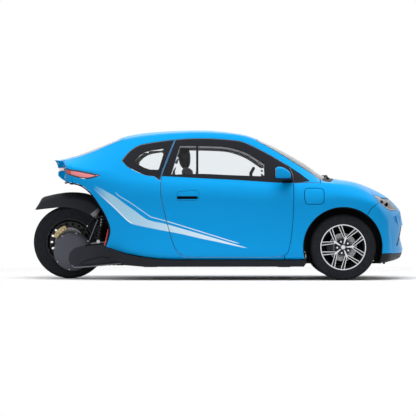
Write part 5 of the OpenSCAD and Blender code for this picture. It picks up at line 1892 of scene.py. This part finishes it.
def seat_parts():
    """Driver's seat: base, seat cushion, two thigh bolsters, back, side bolsters, headrest."""
    yz, y0 = (1, 2, 0), 330
    base = prism("seat_base_driver", [(-120, 345), (300, 360), (322, 430), (-110, 410),
                                      (-160, 470), (-180, 420)], y0 - 215, y0 + 215, [DASH], 12)
    seat = cushion("seat_cushion_driver", [
        soft_ring(y0 - w, y0 + w, low, high, x, yz) for x, w, low, high in (
            (-132, 150, 430, 448), (-120, 165, 405, 462), (0, 165, 402, 462),
            (180, 165, 408, 474), (290, 165, 412, 476), (318, 155, 432, 462))], CLOTH)
    bolsters = [cushion("seat_bolster_%s_driver" % n, [
        soft_ring(y0 + k * 200 - w, y0 + k * 200 + w, low, high, x, yz)
        for x, w, low, high in ((-118, 10, 440, 470), (-100, 28, 400, 498), (60, 30, 400, 500),
                                (220, 28, 404, 496), (290, 12, 430, 470))], BOLSTER, 6)
                for n, k in (("outer", -1), ("inner", 1))]
    xy = (0, 1, 2)

    def leaning(z, back, front, w):
        """A ring round the leaning back, at a height above the seat."""
        lean = -(z - 470) * .262
        return soft_ring(lean + back, lean + front, y0 - w, y0 + w, z, xy)

    back = cushion("seat_back_driver", [leaning(z, b, f, w) for z, b, f, w in (
        (478, -170, -120, 140), (492, -188, -108, 160), (640, -192, -112, 158),
        (820, -192, -118, 150), (980, -194, -112, 138), (1045, -196, -104, 118),
        (1064, -180, -124, 84))], CLOTH)
    wings = [cushion("seat_wing_%s_driver" % n, [
        leaning(z, b, f, w) + (0, k * out, 0) for z, b, f, w, out in (
            (484, -180, -110, 17, 190), (505, -192, -84, 34, 194), (660, -196, -74, 34, 194),
            (820, -194, -84, 34, 184), (960, -190, -104, 30.6, 164),
            (1010, -180, -120, 17, 152))], BOLSTER, 6) for n, k in (("outer", -1), ("inner", 1))]
    head = cushion("headrest_driver", [
        soft_ring(b, f, y0 - w, y0 + w, z, xy, .5) for z, b, f, w in (
            (1064, -346, -296, 60), (1078, -358, -284, 78), (1120, -370, -276, 98),
            (1180, -376, -272, 114), (1232, -372, -278, 106), (1256, -352, -298, 78))],
        BOLSTER, 7)
    posts = [rod("post", (-308, y0 + s, 1020), (-322, y0 + s, 1090), 7, STEEL) for s in (-45, 45)]
    buckle = block("buckle", (-120, y0 + 232, 420), (-80, y0 + 246, 520), [DASH], 4)
    fittings = joined("seat_fittings_driver", *posts, buckle)
    return [seat, *bolsters, back, *wings, head], [base, fittings]


SEAT_STEP = -.66                     # from the driver's seat to the passenger's, along Y
soft, hard = seat_parts()
for piece in hard + soft:
    second = copied(piece, piece.name.replace("driver", "passenger"), (0, SEAT_STEP, 0))
    for each in (piece, second):
        if piece in soft:
            lift = each.modifiers.new("soften", "SUBSURF")
            lift.levels = lift.render_levels = 1
            made_plain(each)
            soften(each, 180)
        fit(each, "car", *(["seats"] if each is soft[0] else []))

dash_top = smooth([[500, 640], [478, 720], [470, 800], [505, 868], [620, 905], [800, 912],
                   [905, 896]], 4) / MM
dash = prism("dash_body", np.vstack([dash_top, [[890, 840], [720, 700], [640, 630]]]), -616, 616,
             [DASH], 14)
fit(dash, "car", "dashboard")
hood_over = prism("dash_cluster", [(498, 858), (470, 930), (480, 944), (560, 940), (640, 902),
                                   (600, 860)], 210, 450, [DASH], 8)
screen = prism("dash_screen", [(462, 790), (450, 925), (457, 929), (470, 792)], -150, 130,
               [SCREEN], 3)
vent = block("vent", (466, -600, 812), (486, -596.5, 846), [SHADOW], 0)
vents = repeated("vents", vent, 14, SHADOW, step=(0, .013, 0))
more_vents = copied(vents, "more_vents", (0, 1.02, 0))
column_rod = rod("column", (560, 330, 745), (292, 330, 893), 26, DASH, 24)
stalks = [rod("stalk", (318, 330 + k * 20, 885), (312, 330 + k * 130, 905), 6, BLACK)
          for k in (-1, 1)]
fit(joined("dash_fittings", hood_over, screen, vents, more_vents, column_rod, *stalks), "car")


def steering():
    """Leather rim, three spokes and a padded boss, tilted as the column is."""
    t = np.linspace(0, 2 * math.pi, 64, endpoint=False)
    rim = tube("rim", np.column_stack([180 * np.cos(t), 180 * np.sin(t), 0 * t]), circle(14.5, 14),
               [BOLSTER], up=(0, 0, 1), loop=True)
    boss = lathe("boss", [(0, -26), (30, -26), (52, -16), (56, 2), (48, 12), (20, 17), (0, 18)],
                 (0, 0), [DASH], n=48)
    boss.data.transform(Matrix.Rotation(math.pi / 2, 4, "X"))
    spokes = []
    for a in (0, 90, -90):
        bar = loft("bar", [np.array([(r, -w, -7), (r, w, -7), (r, w, 3), (r, -w, 3)]) * MM
                           for r, w in ((30, 26), (90, 17), (150, 15), (172, 22))], [DASH])
        bevel(bar, 2.5)
        spokes.append(turned(bar, a + 180, (0, 0, 0), "Z"))
    wheel_piece = joined("steering_rim", rim, boss, *spokes)
    wheel_piece.data.transform(Matrix.Translation((.262, .330, .910))
                               @ Matrix.Rotation(math.radians(-61), 4, "Y"))
    return tidy(wheel_piece, 40)


fit(steering(), "steering", "steering_wheel")
carpet = block("cabin_carpet", (-815, -590, 326), (-65, 590, 334), [CARPET], 2)
front_mat = block("foot_mat_driver", (60, 120, 159), (720, 560, 168), [CARPET], 3)
other_mat = copied(front_mat, "foot_mat_passenger", (0, -.68, 0))
console = prism("console", [(-60, 170), (-60, 420), (120, 440), (330, 430), (470, 560),
                            (640, 640), (700, 180)], -62, 62, [DASH], 12)
for piece in (carpet, front_mat, other_mat, console):
    fit(piece, "car")

dress(UNDER, "floor_pan", "wheel_liners", "rear_bulkhead", "front_subframe")
dress(BATTERY, "battery_pack")


# --------------------------------------------------------------------------
# Floor, camera and light
def studio_floor():
    """A pale floor that fades out towards its edges."""
    f = Finish("studio_floor", (0.86, 0.86, 0.87), 0.6, Specular_IOR_Level=0.2)
    x, y, _ = f.axes()
    across = y * .16 + (y < 0) * y * .24
    far = ((x * .26) ** 2 + across ** 2) ** .5
    f.set(Alpha=1 - f.step(far, .52, 1.0))
    return f.bump(f.noise(300, 2), .0001, .2).material


floor = mesh_object("studio_floor", [(-4.2, -3, 0), (4.2, -3, 0), (4.2, 7, 0), (-4.2, 7, 0)],
                    [(0, 1, 2, 3)], [studio_floor()])

camera = placed("camera", bpy.data.cameras.new("camera"))
bpy.context.scene.camera = camera
camera.location, camera.rotation_euler = (-0.0975, -25.8, 0.678), (math.pi / 2, 0, 0)
camera.data.lens, camera.data.clip_end = 230.9, 200


def soft_lamp(name, place, aim, size, power):
    """A rectangular lamp that doesn't show in reflections."""
    data = bpy.data.lights.new(name, "AREA")
    data.shape, data.size, data.size_y, data.energy = "RECTANGLE", *size, power
    lamp = placed(name, data)
    lamp.location = place
    lamp.rotation_euler = (Vector(aim) - Vector(place)).to_track_quat("-Z", "Y").to_euler()
    lamp.visible_glossy = False


soft_lamp("overhead", (0, -1.2, 6.0), (0, 0, .5), (5, 3), 300)
soft_lamp("front_side", (0, -9, 3.2), (0, 0, .6), (9, 3), 120)


def white_room():
    """White to the camera and in reflections, softer below than above for lighting."""
    world = bpy.data.worlds.new("white_room")
    bpy.context.scene.world = world
    world.use_nodes = True
    tree = world.node_tree
    tree.nodes.clear()
    add, link = tree.nodes.new, tree.links.new
    way, parts, ramp = (add("ShaderNodeTexCoord"), add("ShaderNodeSeparateXYZ"),
                        add("ShaderNodeMapRange"))
    link(way.outputs["Generated"], parts.inputs[0])
    link(parts.outputs["Z"], ramp.inputs[0])
    for socket, value in zip(ramp.inputs[1:5], (-.5, .8, .22, .85)):
        socket.default_value = value
    lit, white, mix = (add("ShaderNodeBackground"), add("ShaderNodeBackground"),
                       add("ShaderNodeMixShader"))
    link(ramp.outputs[0], lit.inputs["Strength"])
    rays, glossy, either = add("ShaderNodeLightPath"), add("ShaderNodeMath"), add("ShaderNodeMath")
    glossy.operation = either.operation = "MAXIMUM"
    link(rays.outputs["Is Glossy Ray"], glossy.inputs[0])
    link(rays.outputs["Is Transmission Ray"], glossy.inputs[1])
    link(glossy.outputs[0], either.inputs[0])
    link(rays.outputs["Is Camera Ray"], either.inputs[1])
    link(either.outputs[0], mix.inputs[0])
    link(lit.outputs[0], mix.inputs[1])
    link(white.outputs[0], mix.inputs[2])
    white.inputs[0].default_value = lit.inputs[0].default_value = (1, 1, 1, 1)
    link(mix.outputs[0], add("ShaderNodeOutputWorld").inputs[0])


white_room()
bpy.context.scene.view_settings.view_transform = "Standard"
